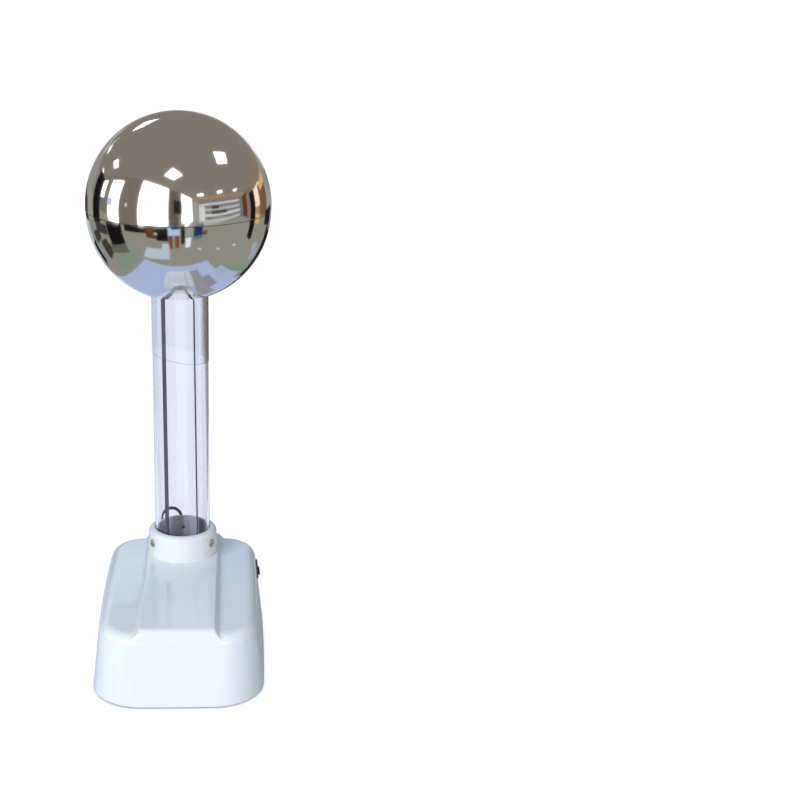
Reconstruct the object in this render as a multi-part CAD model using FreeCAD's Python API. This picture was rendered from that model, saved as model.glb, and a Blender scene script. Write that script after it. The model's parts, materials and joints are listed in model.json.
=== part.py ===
import FreeCAD, Part
import os
from math import acos, atan2, cos, degrees, pi, sin, sqrt, tan
from FreeCAD import Placement, Rotation, Vector

# A bench van de Graaff generator: a belt driven by a motor in the base carries charge up a
# clear column to a polished sphere. Millimetres, +Z up, -Y is the front. Everything is worked
# out from the middle of the base, on the bench, and moved as it is saved so that the origin is
# the bottom centre of the whole machine, whose sphere overhangs the base at the rear.

# ---------------------------------------------------------------- driving dimensions
# base housing
base_width = 185.0
base_length = 280.0
base_height = 90.0
wall = 3.0
skirt_gap = 2.0
plan_corner = 54.0
corner_ease = 20.0
side_bow = 3.0
end_bow = 2.0
side_inset = 9.5
front_inset = 13.0
rear_inset = 17.0
hump_rise = 6.0
plateau_shoulder = 13.0
hump_shoulder = 9.0
hump_top_half = 39.4
hump_foot_half = 43.5
hump_edge_round = 2.5
hump_setback = 0.8
top_fall = 7.0
fall_start = 25.0
boss_radius = 4.5
boss_reach_x = 71.0
boss_reach_y = 92.0

# bottom plate and feet
plate_thickness = 2.0
foot_height = 3.0
foot_radius = 11.0
foot_stem_radius = 3.0
foot_reach_x = 58.0
foot_reach_y = 104.0
vent_count = 8
vent_pitch = 8.0
vent_length = 44.0
vent_width = 3.5

# column, collar and film sleeve
column_inset = 71.0
tube_radius = 31.0
tube_wall = 2.5
collar_height = 29.7
collar_foot_radius = 39.3
collar_top_radius = 38.5
collar_round = 5.8
collar_screw_height = 16.0
collar_screw_angle = 60.0
collar_screw_head = 4.1
collar_screw_rim = 0.6
collar_counterbore = 1.4
collar_screw_head_height = 2.8
sleeve_thickness = 0.3
sleeve_length = 85.0
sleeve_slant = 0.174
sleeve_overlap = 3.1

# sphere
ball_radius = 100.0
shell_wall = 1.5
neck_height = 400.9
dome_band = 4.2
lip_height = 8.0
dome_step = 0.4
neck_clearance = 1.0
neck_roll = 5.0
neck_lip = 16.0
clamp_width = 7.0
clamp_height = 12.0

# belt and rollers
shaft_height = 42.0
upper_roller_rise = 30.0
upper_roller_shift = -2.0
lower_roller_radius = 16.2
upper_roller_radius = 15.7
roller_length = 46.0
roller_crown = 0.5
belt_width = 38.0
belt_thickness = 1.4
drive_axle_radius = 4.0
upper_axle_radius = 3.0
comb_gap = 1.5
comb_sheet = 1.0
tooth_pitch = 3.0
tooth_depth = 3.0

# motor and its mountings
motor_radius = 29.0
motor_length = 76.0
bell_length = 13.0
motor_shaft_radius = 3.0
nose_radius = 9.0
nose_length = 3.0
coupling_radius = 9.0
coupling_length = 20.0
saddle_thickness = 11.0
saddle_inset = 9.0
saddle_pad = 4.0
ear_width = 9.0
strap_thickness = 1.5
saddle_drop = 6.0
stand_offset = 30.0
stand_thickness = 5.0
stand_half_width = 20.0
stand_foot = 16.0
bearing_radius = 11.0
bearing_width = 7.0

# upper bracket
bracket_gap = 9.1
bracket_wall = 3.5
bracket_skirt = 14.0
bracket_screw_turn = 60.0
cheek_thickness = 3.0
cheek_half_width = 12.0
small_bearing_radius = 8.0
small_bearing_width = 5.0
spacer_radius = 5.0
nut_size = 5.8
nut_height = 3.5
leaf_width = 8.0
leaf_sheet = 0.5
leaf_roll = 2.0

# collar lead
lead_radius = 1.9
lead_left = -30.0
lead_right = -3.0
lead_rear_gap = 36.0
lead_arch_rise = 22.5
tag_reach = 9.0

# fittings
switch_y = 76.0
switch_height = 62.0
switch_length = 21.0
switch_width = 15.0
switch_depth = 16.0
rocker_tilt = 10.0
rocker_dip = 9.0
bezel = 2.0
panel_depth = 11.5
panel_width = 96.0
panel_low = 22.0
panel_high = 58.0
panel_tab = 11.5
panel_tab_depth = 8.0
panel_screw_edge = 3.8
inlet_width = 27.0
inlet_height = 20.0
inlet_depth = 18.0
inlet_mouth_width = 24.0
inlet_mouth_height = 15.8
inlet_mouth_depth = 15.0
inlet_ear = 11.5
fuse_radius = 6.2
fuse_rim = 2.0
fuse_depth = 24.0
fuse_flange = 2.5
fuse_plug = 4.5
fuse_grip = 6.5
socket_radius = 5.0
socket_rim = 1.8
socket_depth = 20.0
socket_bore = 2.0
socket_sleeve = 0.8
inlet_sheet = 2.5
inlet_bevel = 5.0

# small screws
screw_radius = 1.5
screw_head = 3.0
screw_head_height = 1.6
screw_grip = 8.0
set_screw_radius = 2.0
set_screw_slot = 0.4
set_screw_stand = 1.0
tiny_screw_radius = 1.0
tiny_screw_head = 1.9

# clearances
slip = 0.1
running = 0.05
play = 0.3

# ---------------------------------------------------------------- places worked out from them
plateau_height = base_height - hump_rise
column_y = base_length / 2 - column_inset
plate_low = foot_height
plate_top = plate_low + plate_thickness
tube_bore = tube_radius - tube_wall
shaft_z = shaft_height
lower_pitch = lower_roller_radius + play
upper_pitch = upper_roller_radius + play
bearing_face = column_y - stand_offset - bearing_width / 2
coupling_rear = bearing_face - 1.0
coupling_front = coupling_rear - coupling_length
motor_rear = coupling_front - nose_length - 2.0
motor_front = motor_rear - motor_length
saddle_rear = motor_rear - saddle_inset
saddle_front = motor_front + saddle_inset
stand_rear = column_y + stand_offset
panel_y = base_length / 2 - panel_depth
panel_z = (panel_low + panel_high) / 2
inlet_flange = inlet_width / 2 + inlet_ear
panel_gap = (panel_width - 2 * (inlet_flange + fuse_radius + fuse_rim + socket_radius + socket_rim)) / 4
inlet_x = -panel_width / 2 + panel_gap + inlet_flange
socket_x = panel_width / 2 - panel_gap - socket_radius - socket_rim
fuse_x = socket_x - socket_radius - socket_rim - panel_gap - fuse_rim - fuse_radius
lower_ball_radius = ball_radius - dome_step
neck_radius = tube_radius + sleeve_thickness + neck_clearance
neck_x = neck_radius + neck_roll
lip_top = neck_height + neck_lip
seam_height = neck_height + sqrt((lower_ball_radius - neck_roll) ** 2 - neck_x ** 2)
dome_centre = seam_height + dome_band
tube_top = lip_top + bracket_gap + bracket_skirt
upper_roller_height = tube_top + upper_roller_rise
sleeve_top = lip_top - clamp_height + sleeve_overlap
sleeve_low_edge = sleeve_top - sleeve_length
lead_rear = column_y + lead_rear_gap
lead_arch_height = base_height + lead_arch_rise
collar_screw_z = base_height + collar_screw_height
turns = [-90.0 - collar_screw_angle, -90.0 + collar_screw_angle, 90.0]

UP = Vector(0, 0, 1)
BACK = Vector(0, 1, 0)
RIGHT = Vector(1, 0, 0)


overhang = max(column_y + ball_radius, base_length / 2) - base_length / 2
TO_ORIGIN = Placement(Vector(0, -overhang / 2, 0), Rotation())


# ---------------------------------------------------------------- small helpers
def save(name, *solids):
    """Write one sub-part; several separate solids share the node as a group."""
    shapes = [placed(s, TO_ORIGIN) for s in solids]
    shape = shapes[0] if len(shapes) == 1 else Part.makeCompound(shapes)
    shape.exportStep("parts/" + name + ".step")


def rod(radius, length, start, axis=UP):
    return Part.makeCylinder(radius, length, start, axis)


def ring(outer, inner, length, start, axis=UP):
    return single(rod(outer, length, start, axis).cut(rod(inner, length, start, axis)))


def box(x0, x1, y0, y1, z0, z1):
    return Part.makeBox(x1 - x0, y1 - y0, z1 - z0, Vector(x0, y0, z0))


def single(shape):
    """The one solid that a boolean or fillet leaves, out of its wrapping."""
    return shape.Solids[0] if len(shape.Solids) == 1 else shape


def fused(first, *others):
    return single(first.fuse(list(others)).removeSplitter())


def without(shape, *tools):
    return single(shape.cut(list(tools)))


def flat(u, v):
    return Vector(u, v, 0)


def upright(u, v):
    return Vector(u, 0, v)


def rounded_face(corners, place=upright):
    """A face from (u, v, radius) corners, each turned by a tangent arc where it has a radius."""
    edges = []
    ends = []
    count = len(corners)
    for i in range(count):
        u, v, radius = corners[i]
        here = Vector(u, v, 0)
        before = Vector(*corners[i - 1][:2], 0) - here
        after = Vector(*corners[(i + 1) % count][:2], 0) - here
        if radius <= 0:
            ends.append((here, here, here))
            continue
        before.normalize()
        after.normalize()
        half = before.getAngle(after) / 2
        inward = (before + after).normalize()
        centre = here + inward * (radius / sin(half))
        run = radius / tan(half)
        ends.append((here + before * run, centre - inward * radius, here + after * run))
    for i in range(count):
        start, middle, end = ends[i]
        if (end - start).Length > 1e-7:
            edges.append(Part.Arc(place(*start[:2]), place(*middle[:2]), place(*end[:2])).toShape())
        following = ends[(i + 1) % count][0]
        if (following - end).Length > 1e-7:
            edges.append(Part.LineSegment(place(*end[:2]), place(*following[:2])).toShape())
    return Part.Face(Part.Wire(edges))


def turned(corners, axis=UP, place=upright):
    """A solid of revolution about the local axis from a profile of (radius, height, round)."""
    return rounded_face(corners, place).revolve(Vector(0, 0, 0), axis, 360)


def moved(shape, x, y, z):
    copy = shape.copy()
    copy.translate(Vector(x, y, z))
    return copy


def placed(shape, placement):
    """A copy carried by a placement from wherever it already is."""
    copy = shape.copy()
    copy.Placement = placement.multiply(shape.Placement)
    return copy


def turned_over(shape, axis, angle):
    return placed(shape, Placement(Vector(0, 0, 0), Rotation(axis, angle)))


def lying(shape, y, z, x=0.0):
    """Lay a shape made about +Z so that its axis runs to the rear, at height z."""
    return placed(shape, Placement(Vector(x, y, z), Rotation(RIGHT, -90)))


def around_column(shape, angle, z=0.0):
    """Turn a shape that points along +X to an angle about the column's axis."""
    return placed(shape, Placement(Vector(0, column_y, z), Rotation(UP, angle)))


def pan_screw(radius, length, head_radius, head_height):
    """A screw about +Z: shank upwards from 0, slotted head with an eased rim below 0."""
    head = turned([(0, -head_height, 0), (head_radius * 0.7, -head_height, 0),
                   (head_radius, -head_height * 0.5, 0), (head_radius, 0, 0), (0, 0, 0)])
    slot = box(-head_radius, head_radius, -0.4, 0.4, -head_height, -head_height * 0.5)
    return fused(head, rod(radius, length, Vector(0, 0, 0))).cut(slot)


# ---------------------------------------------------------------- base housing
def taper(z):
    """How far up the wall's slope a height is, from 0 at the skirt to 1 at the top."""
    return (z - skirt_gap) / (base_height - skirt_gap)


def side_at(z):
    return base_width / 2 - side_inset * taper(z)


def front_at(z):
    return -base_length / 2 + front_inset * taper(z)


def rear_at(z):
    return base_length / 2 - rear_inset * taper(z)


def mirrored(point, sx, sy):
    return Vector(point.x * sx, point.y * sy, point.z)


def bowed_radius(half_chord, bow):
    return (half_chord ** 2 + bow ** 2) / (2 * bow)


def plan_wire(z, inset=0.0):
    """The base's outline at a height: four bowed sides and four tangent corner arcs."""
    half_x = side_at(z) - inset
    half_y = (rear_at(z) - front_at(z)) / 2 - inset
    middle_y = (rear_at(z) + front_at(z)) / 2
    corner = plan_corner - corner_ease * taper(z) - inset
    side_radius = bowed_radius(half_y, side_bow)
    end_radius = bowed_radius(half_x, end_bow)
    side_centre = Vector(half_x - side_radius, 0, 0)
    end_centre = Vector(0, half_y - end_radius, 0)
    apart = (end_centre - side_centre).Length
    along = ((side_radius - corner) ** 2 - (end_radius - corner) ** 2 + apart ** 2) / (2 * apart)
    across = sqrt((side_radius - corner) ** 2 - along ** 2)
    way = (end_centre - side_centre).normalize()
    centre = side_centre + way * along + Vector(-way.y, way.x, 0) * across
    if centre.x < 0 or centre.y < 0:
        centre = side_centre + way * along - Vector(-way.y, way.x, 0) * across
    on_side = centre + (centre - side_centre).normalize() * corner
    on_end = centre + (centre - end_centre).normalize() * corner
    on_corner = centre + (on_side + on_end - centre * 2).normalize() * corner
    right = [mirrored(on_side, 1, -1), Vector(half_x, 0, 0), on_side]
    turn = [on_side, on_corner, on_end]
    rear = [on_end, Vector(0, half_y, 0), mirrored(on_end, -1, 1)]
    arcs = [right, turn, rear]
    arcs.append([mirrored(p, -1, 1) for p in reversed(turn)])
    arcs.append([mirrored(p, -1, -1) for p in right])
    arcs.append([mirrored(p, -1, -1) for p in turn])
    arcs.append([mirrored(p, -1, -1) for p in rear])
    arcs.append([mirrored(p, 1, -1) for p in reversed(turn)])
    shift = Vector(0, middle_y, z)
    return Part.Wire([Part.Arc(*[p + shift for p in arc]).toShape() for arc in arcs])


def fall_at(y):
    """How far the top has come down at a place in front of where it starts to fall."""
    ahead = max(fall_start - y, 0)
    return fall_radius - sqrt(fall_radius ** 2 - ahead ** 2)


def above_top(top, inset):
    """What lies over the base's top: level at the rear, falling in a long arc to the front."""
    def at(y):
        return Vector(-base_width, y, top - fall_at(y) * (1 - inset / fall_radius))
    front = -base_length / 2
    sky = top + 4 * wall
    arc = Part.Arc(at(front), at((front + fall_start) / 2), at(fall_start)).toShape()
    edges = line(at(fall_start), at(base_length / 2), Vector(-base_width, base_length / 2, sky),
                 Vector(-base_width, front, sky), at(front))
    return Part.Face(Part.Wire([arc] + edges)).extrude(RIGHT * 2 * base_width)


def tapered_block(top, shoulder, inset):
    """The base's tapering block up to its top, with the top's edge rounded."""
    over = top + 2 * wall
    block = Part.makeLoft([plan_wire(skirt_gap, inset), plan_wire(over, inset)], True, True)
    block = single(block.cut(above_top(top, inset)))
    rim = []
    for edge in block.Edges:
        spot = edge.valueAt((edge.FirstParameter + edge.LastParameter) / 2)
        crosses = edge.BoundBox.YLength < 0.1
        if abs(spot.z - top + fall_at(spot.y)) < 0.1 and not crosses:
            rim.append(edge)
    return single(block.makeFillet(shoulder, rim))


def hump_ridge(top, inset):
    """The hump's sides and rounded upper edges, following the top's fall."""
    foot = plateau_height - plateau_shoulder - top_fall
    slope = (hump_foot_half - hump_top_half) / (base_height - plateau_height)
    low_half = hump_foot_half + slope * (plateau_height - foot) - inset
    top_half = hump_top_half - inset + slope * inset
    face = rounded_face([(-low_half, foot, 0), (low_half, foot, 0), (top_half, top, hump_edge_round),
                         (-top_half, top, hump_edge_round)])
    face = moved(face, 0, fall_start, 0)
    centre = Vector(0, fall_start, base_height - fall_radius)
    bent = face.revolve(centre, RIGHT, -fall_turn)
    if bent.BoundBox.YMin > fall_start - wall:
        bent = face.revolve(centre, RIGHT, fall_turn)
    return fused(face.extrude(BACK * base_length / 2), bent)


def base_form(inset):
    """The outer form of the base, or its hollow when inset by the wall."""
    top = base_height - inset
    low = tapered_block(plateau_height - inset, plateau_shoulder - inset, inset)
    high = tapered_block(top, hump_shoulder - inset, inset + hump_setback)
    return fused(low, high.common(hump_ridge(top, inset)))


def wall_lean():
    return degrees(atan2(side_inset, base_height - skirt_gap))


def on_right_wall(shape):
    """Seat a shape that faces +X, made about the origin, on the right wall at the switch."""
    half_y = (rear_at(switch_height) - front_at(switch_height)) / 2
    middle_y = (rear_at(switch_height) + front_at(switch_height)) / 2
    radius = bowed_radius(half_y, side_bow)
    sag = radius - sqrt(radius ** 2 - (switch_y - middle_y) ** 2)
    spot = Vector(side_at(switch_height) - sag, switch_y, switch_height)
    return placed(shape, Placement(spot, Rotation(BACK, -wall_lean())))


def on_panel(shape, x):
    """Seat a shape made about +Z, outside above 0, on the rear panel."""
    return placed(shape, Placement(Vector(x, panel_y, panel_z), Rotation(RIGHT, -90)))


def switch_body_space(extra):
    return box(-switch_depth, 0, -switch_length / 2 + bezel - extra, switch_length / 2 - bezel + extra,
               -switch_width / 2 + bezel - extra, switch_width / 2 - bezel + extra)


fall_run = fall_start + base_length / 2 - front_inset
fall_radius = (fall_run ** 2 + top_fall ** 2) / (2 * top_fall)
fall_turn = degrees(atan2(fall_start + base_length / 2, fall_radius))
boss_places = [(sx * boss_reach_x, sy * boss_reach_y) for sx in (-1, 1) for sy in (-1, 0, 1)]
foot_places = [(sx * foot_reach_x, sy * foot_reach_y) for sx in (-1, 1) for sy in (-1, 1)]
panel_screw_x = panel_width / 2 - panel_screw_edge
panel_screw_z = (panel_high - panel_low) / 2 - panel_screw_edge
panel_screw_places = [(sx * panel_screw_x, sz * panel_screw_z) for sx in (-1, 1) for sz in (-1, 1)]
grommet_x = lead_left
fixing_turns = [t + 180.0 for t in turns]
fixing_radius = (tube_radius + collar_foot_radius) / 2


def top_holes():
    """The boss holes and what goes through the housing's top: belt, lead and collar screws."""
    low = base_height - 2 * wall
    grip = screw_grip + play
    holes = [rod(screw_radius + slip, grip, Vector(x, y, plate_top)) for x, y in boss_places]
    holes.append(rod(tube_bore, 3 * wall, Vector(0, column_y, low)))
    holes.append(rod(grommet_neck + slip, 3 * wall, Vector(grommet_x, lead_rear, low)))
    fixing = rod(screw_radius + slip, 3 * wall, Vector(fixing_radius, 0, 0))
    return holes + [around_column(fixing, t, low) for t in fixing_turns]


def panel_hole(radius, x):
    return on_panel(rod(radius + slip, 3 * wall, Vector(0, 0, -2 * wall)), x)


def wall_holes():
    """The switch's hole in the right wall and those of the rear panel's screws."""
    holes = [on_right_wall(switch_body_space(slip)), on_right_wall(bezel_plate())]
    return holes + panel_screw_rods(2 * panel_tab_depth)


def panel_screw_rods(depth):
    """Clearance holes for the rear panel's corner screws, from its face to a depth."""
    hole = rod(screw_radius + slip, depth, Vector(0, 0, -depth))
    return [on_panel(moved(hole, 0, v, 0), x) for x, v in panel_screw_places]


def panel_tabs():
    """Blocks behind the rear opening's corners that the panel is screwed to."""
    near = panel_y - wall - panel_tab_depth
    tabs = []
    for low in (panel_low - wall, panel_high + wall - panel_tab):
        for left in (-panel_width / 2 - wall, panel_width / 2 + wall - panel_tab):
            tabs.append(box(left, left + panel_tab, near, panel_y, low, low + panel_tab))
    return tabs


def base_housing():
    shell = base_form(0.0).cut(base_form(wall))
    pad = box(-panel_width / 2 - wall, panel_width / 2 + wall, panel_y - wall, rear_at(panel_high),
              panel_low - wall, panel_high + wall).common(base_form(0.0))
    bosses = []
    for x, y in boss_places:
        height = plateau_height - fall_at(y) - wall / 2 - plate_top
        bosses.append(rod(boss_radius, height, Vector(x, y, plate_top)))
    recess = box(-panel_width / 2, panel_width / 2, panel_y - wall - slip, base_length / 2,
                 panel_low, panel_high)
    shell = fused(shell, pad, *bosses, *panel_tabs()).cut(recess)
    return without(shell, *top_holes(), *wall_holes())


def rear_panel():
    """The plate in the rear recess that carries the inlet, the fuse and the earth socket."""
    half = panel_width / 2 - slip
    plate = box(-half, half, panel_y - wall, panel_y, panel_low + slip, panel_high - slip)
    holes = [on_panel(inlet_prism(slip, -2 * wall, wall), inlet_x)]
    holes += [panel_hole(fuse_radius, fuse_x), panel_hole(socket_radius, socket_x)]
    holes += [panel_hole(screw_radius, x) for x in inlet_screw_places()]
    return without(plate, *holes, *panel_screw_rods(2 * wall))


# ---------------------------------------------------------------- bottom plate
cradle_screw_x = motor_radius + slip + strap_thickness + screw_head + 0.4
cradle_places = [(sx * cradle_screw_x, y) for sx in (-1, 1) for y in (saddle_front, saddle_rear)]
stand_screw_x = stand_half_width - 6.0
front_foot_y = column_y - stand_offset - stand_thickness / 2 - stand_foot / 2
rear_foot_y = column_y + stand_offset + stand_thickness / 2 + stand_foot / 2
stand_places = [(sx * stand_screw_x, y) for sx in (-1, 1) for y in (front_foot_y, rear_foot_y)]
comb_foot = 14.0
comb_places = [(comb_foot - 5.0, column_y + s * belt_width / 4) for s in (-1, 1)]
tag_place = (lead_left, lead_rear - tag_reach)

def bottom_plate():
    sheet = Part.Face(plan_wire(plate_top, wall + play)).extrude(UP * -plate_thickness)
    low = plate_low - 1
    deep = 2 * plate_thickness
    holes = []
    for x, y in boss_places + cradle_places + stand_places + comb_places + [tag_place]:
        holes.append(rod(screw_radius + slip, deep, Vector(x, y, low)))
    for x, y in foot_places:
        holes.append(rod(foot_stem_radius + slip, deep, Vector(x, y, low)))
    middle = (motor_front + motor_rear) / 2
    half = vent_length / 2
    edge = vent_width / 2
    turn = vent_width * 0.49
    for i in range(vent_count):
        y = middle + (i - (vent_count - 1) / 2) * vent_pitch
        slot = rounded_face([(-half, -edge, turn), (half, -edge, turn), (half, edge, turn),
                             (-half, edge, turn)], flat)
        holes.append(moved(slot.extrude(UP * deep), 0, y, low))
    return without(sheet, *holes)


def plate_screws(places, length):
    screw = pan_screw(screw_radius, length, screw_head, screw_head_height)
    return [moved(screw, x, y, plate_low) for x, y in places]


def rubber_foot():
    """A push-in foot: a tapered puck, a stem through the plate and a bulb that holds it."""
    stem = foot_stem_radius
    bulb = stem + 0.8
    return turned([(0, 0, 0), (foot_radius - 1.4, 0, 0), (foot_radius - 0.9, 0.5, 0),
                   (foot_radius, foot_height, 0), (stem, foot_height, 0), (stem, plate_top, 0),
                   (bulb, plate_top, 0), (bulb, plate_top + 1.2, 0), (stem - 1.0, plate_top + 4, 0),
                   (0, plate_top + 4, 0)])


# ---------------------------------------------------------------- motor
def motor_body():
    """A closed casing: two bells on a wider middle, a nose round the shaft, and cooling holes."""
    bell = motor_radius - 1.0
    eased = bell - 3.0
    bore = motor_shaft_radius + running
    nose_end = motor_length + nose_length
    body = turned([(bore, bell_length / 2, 0), (bore, nose_end, 0), (nose_radius, nose_end, 0),
                   (nose_radius, motor_length, 0), (eased, motor_length, 0),
                   (bell, motor_length - 3.0, 0), (bell, motor_length - bell_length, 0),
                   (motor_radius, motor_length - bell_length, 0), (motor_radius, bell_length, 0),
                   (bell, bell_length, 0), (bell, 3.0, 0), (eased, 0, 0), (0, 0, 0),
                   (0, bell_length / 2, 0)])
    vent = rod(2.6, 6.0, Vector(bell * 0.62, 0, 0))
    vents = []
    for i in range(8):
        for z in (-2.0, motor_length - 4.0):
            vents.append(turned_over(moved(vent, 0, 0, z), UP, 45 * i + 22.5))
    return lying(without(body, *vents), motor_front, shaft_z)


def motor_shaft():
    start = motor_front + bell_length / 2 + play
    end = coupling_front + coupling_length / 2 - 0.5
    return rod(motor_shaft_radius, end - start, Vector(0, start, shaft_z), BACK)


def saddle_at(y):
    """One saddle of the cradle: a block with ears, hollowed to the motor."""
    half = motor_radius + ear_width
    top = shaft_z - saddle_drop
    face = rounded_face([(-half, plate_top, 0), (half, plate_top, 0), (half, top, 2), (-half, top, 2)])
    block = moved(face.extrude(BACK * saddle_thickness), 0, y - saddle_thickness / 2, 0)
    motor = rod(motor_radius + slip, 2 * saddle_thickness, Vector(0, y - saddle_thickness, shaft_z), BACK)
    return block.cut(motor)


def motor_cradle():
    half = motor_radius + ear_width
    pad = box(-half, half, saddle_front, saddle_rear, plate_top, plate_top + saddle_pad)
    vents = box(-vent_length / 2, vent_length / 2, saddle_front + saddle_thickness / 2,
                saddle_rear - saddle_thickness / 2, plate_top, plate_top + saddle_pad)
    body = fused(saddle_at(saddle_front), saddle_at(saddle_rear), pad.cut(vents))
    radius = screw_radius + slip
    seat = shaft_z - saddle_drop
    holes = []
    for x, y in cradle_places:
        holes.append(rod(radius, screw_grip + play, Vector(x, y, plate_top)))
        holes.append(rod(radius, screw_grip, Vector(x, y, seat - screw_grip)))
    return without(body, *holes)


def motor_strap(y):
    """A band over the motor with two ears on a saddle."""
    inner = motor_radius + slip
    outer = inner + strap_thickness
    seat = shaft_z - saddle_drop
    half = motor_radius + ear_width
    near = y - saddle_thickness / 2
    far = y + saddle_thickness / 2
    band = ring(outer, inner, saddle_thickness, Vector(0, near, shaft_z), BACK)
    band = band.cut(box(-2 * outer, 2 * outer, near - 1, far + 1, shaft_z - 2 * outer, seat))
    ears = box(-half, half, near, far, seat, seat + strap_thickness)
    middle = rod(inner + strap_thickness / 2, 2 * saddle_thickness,
                 Vector(0, y - saddle_thickness, shaft_z), BACK)
    strap = fused(band, ears.cut(middle))
    holes = [rod(screw_radius + slip, 4.0, Vector(s * cradle_screw_x, y, seat - 1)) for s in (-1, 1)]
    return without(strap, *holes)


def strap_screws():
    length = strap_thickness + screw_grip - 1.0
    screw = turned_over(pan_screw(screw_radius, length, screw_head, screw_head_height), RIGHT, 180)
    return [moved(screw, x, y, shaft_z - saddle_drop + strap_thickness) for x, y in cradle_places]


def shaft_coupling():
    rim = coupling_radius - 0.8
    length = coupling_length
    half = length / 2
    body = turned([(0, 0, 0), (rim, 0, 0), (coupling_radius, 0.8, 0), (coupling_radius, length - 0.8, 0),
                   (rim, length, 0), (0, length, 0)])
    body = body.cut(rod(motor_shaft_radius + running, half, Vector(0, 0, 0)))
    body = body.cut(rod(drive_axle_radius + running, half, Vector(0, 0, half)))
    taps = [rod(screw_radius + slip, coupling_radius, Vector(0, 0, z), RIGHT)
            for z in (half / 2, half * 1.5)]
    return lying(without(body, *taps), coupling_front, shaft_z)


def coupling_screws():
    half = coupling_length / 2
    screws = []
    for z, radius in ((half / 2, motor_shaft_radius), (half * 1.5, drive_axle_radius)):
        start = radius + slip
        screw = rod(screw_radius, coupling_radius - start - 0.8, Vector(start, 0, z), RIGHT)
        screws.append(lying(screw, coupling_front, shaft_z))
    return screws


# ---------------------------------------------------------------- lower roller and its stands
def crowned_roller(radius, bore):
    """A roller about +Z, fuller in the middle so that the belt stays central."""
    half = roller_length / 2
    edge = radius - roller_crown
    crown = Part.Arc(upright(edge, -half), upright(radius, 0), upright(edge, half)).toShape()
    sides = line(upright(edge, half), upright(bore, half), upright(bore, -half), upright(edge, -half))
    return Part.Face(Part.Wire([crown] + sides)).revolve(Vector(0, 0, 0), UP, 360)


def lower_roller():
    return lying(crowned_roller(lower_roller_radius, drive_axle_radius + running), column_y, shaft_z)


def drive_axle():
    start = coupling_front + coupling_length / 2 + 0.5
    end = stand_rear + bearing_width / 2 + 3.0
    groove = ring(drive_axle_radius + 1, drive_axle_radius - 0.5, 1.0,
                  Vector(0, stand_rear + bearing_width / 2 + 0.5, shaft_z), BACK)
    return rod(drive_axle_radius, end - start, Vector(0, start, shaft_z), BACK).cut(groove)


def drive_axle_clip():
    """The split ring in the axle's groove."""
    y = stand_rear + bearing_width / 2 + 0.6
    inner = drive_axle_radius - 0.5 + running
    clip = ring(drive_axle_radius + 2.5, inner, 0.8, Vector(0, y, shaft_z), BACK)
    return clip.cut(box(-1.5, 1.5, y - 1, y + 2, shaft_z, shaft_z + 3 * drive_axle_radius))


def bearing(y):
    start = Vector(0, y - bearing_width / 2, shaft_z)
    return ring(bearing_radius, drive_axle_radius + running, bearing_width, start, BACK)


def bearing_stand(y, way):
    """An upright with a round head for a bearing, and a foot that runs away from the roller."""
    half = stand_half_width
    near = y + way * stand_thickness / 2
    far = near + way * stand_foot
    post = box(-half, half, y - stand_thickness / 2, y + stand_thickness / 2, plate_top, shaft_z)
    head = rod(half, stand_thickness, Vector(0, y - stand_thickness / 2, shaft_z), BACK)
    foot = box(-half, half, min(near, far), max(near, far), plate_top, plate_top + stand_thickness)
    seat = rod(bearing_radius + slip, 2 * stand_thickness, Vector(0, y - stand_thickness, shaft_z), BACK)
    holes = [seat]
    for side in (-1, 1):
        spot = Vector(side * stand_screw_x, (near + far) / 2, plate_top - 1)
        holes.append(rod(screw_radius + slip, 3 * stand_thickness, spot))
    return without(fused(post, head, foot), *holes)


def toothed_sheet(width, height, thickness):
    """A sheet standing in Y and Z with teeth along its upper edge; its thickness runs along X."""
    count = int(width / tooth_pitch)
    pitch = width / count
    points = [Vector(0, -width / 2, 0), Vector(0, width / 2, 0)]
    for i in range(count):
        y = width / 2 - i * pitch
        points.append(Vector(0, y, height - tooth_depth))
        points.append(Vector(0, y - pitch / 2, height))
    points.append(Vector(0, -width / 2, height - tooth_depth))
    points.append(points[0])
    return moved(Part.Face(Part.makePolygon(points)).extrude(RIGHT * thickness), -thickness / 2, 0, 0)


def lower_comb():
    """Bent sheet: a foot on the bottom plate and a toothed edge close under the belt."""
    tip = shaft_z - lower_pitch - belt_thickness - comb_gap
    sheet = toothed_sheet(belt_width, tip - plate_top, comb_sheet)
    foot = box(-comb_sheet / 2, comb_foot, -belt_width / 2, belt_width / 2, 0, comb_sheet)
    comb = moved(fused(sheet, foot), 0, column_y, plate_top)
    low = plate_top - 1
    holes = [rod(screw_radius + slip, 3 * comb_sheet, Vector(x, y, low)) for x, y in comb_places]
    return without(comb, *holes)


# ---------------------------------------------------------------- belt
def belt_loop(extra):
    """The belt's outline round both rollers, as a face standing in X and Z."""
    low_radius = lower_pitch + extra
    high_radius = upper_pitch + extra
    low = Vector(0, 0, shaft_z)
    high = Vector(upper_roller_shift, 0, upper_roller_height)
    run = high - low
    lean = atan2(run.z, run.x)
    spread = acos((low_radius - high_radius) / run.Length)

    def at(centre, radius, angle):
        return centre + Vector(cos(angle), 0, sin(angle)) * radius

    low_right = at(low, low_radius, lean - spread)
    low_left = at(low, low_radius, lean + spread)
    high_right = at(high, high_radius, lean - spread)
    high_left = at(high, high_radius, lean + spread)
    edges = [Part.LineSegment(low_right, high_right).toShape(),
             Part.Arc(high_right, at(high, high_radius, lean), high_left).toShape(),
             Part.LineSegment(high_left, low_left).toShape(),
             Part.Arc(low_left, at(low, low_radius, lean + pi), low_right).toShape()]
    return Part.Face(Part.Wire(edges))


def drive_belt():
    loop = belt_loop(belt_thickness).cut(belt_loop(0.0))
    return moved(loop.extrude(BACK * belt_width), 0, column_y - belt_width / 2, 0)


# ---------------------------------------------------------------- column and collar
def column_tube():
    return ring(tube_radius, tube_bore, tube_top - base_height, Vector(0, column_y, base_height))


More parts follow.
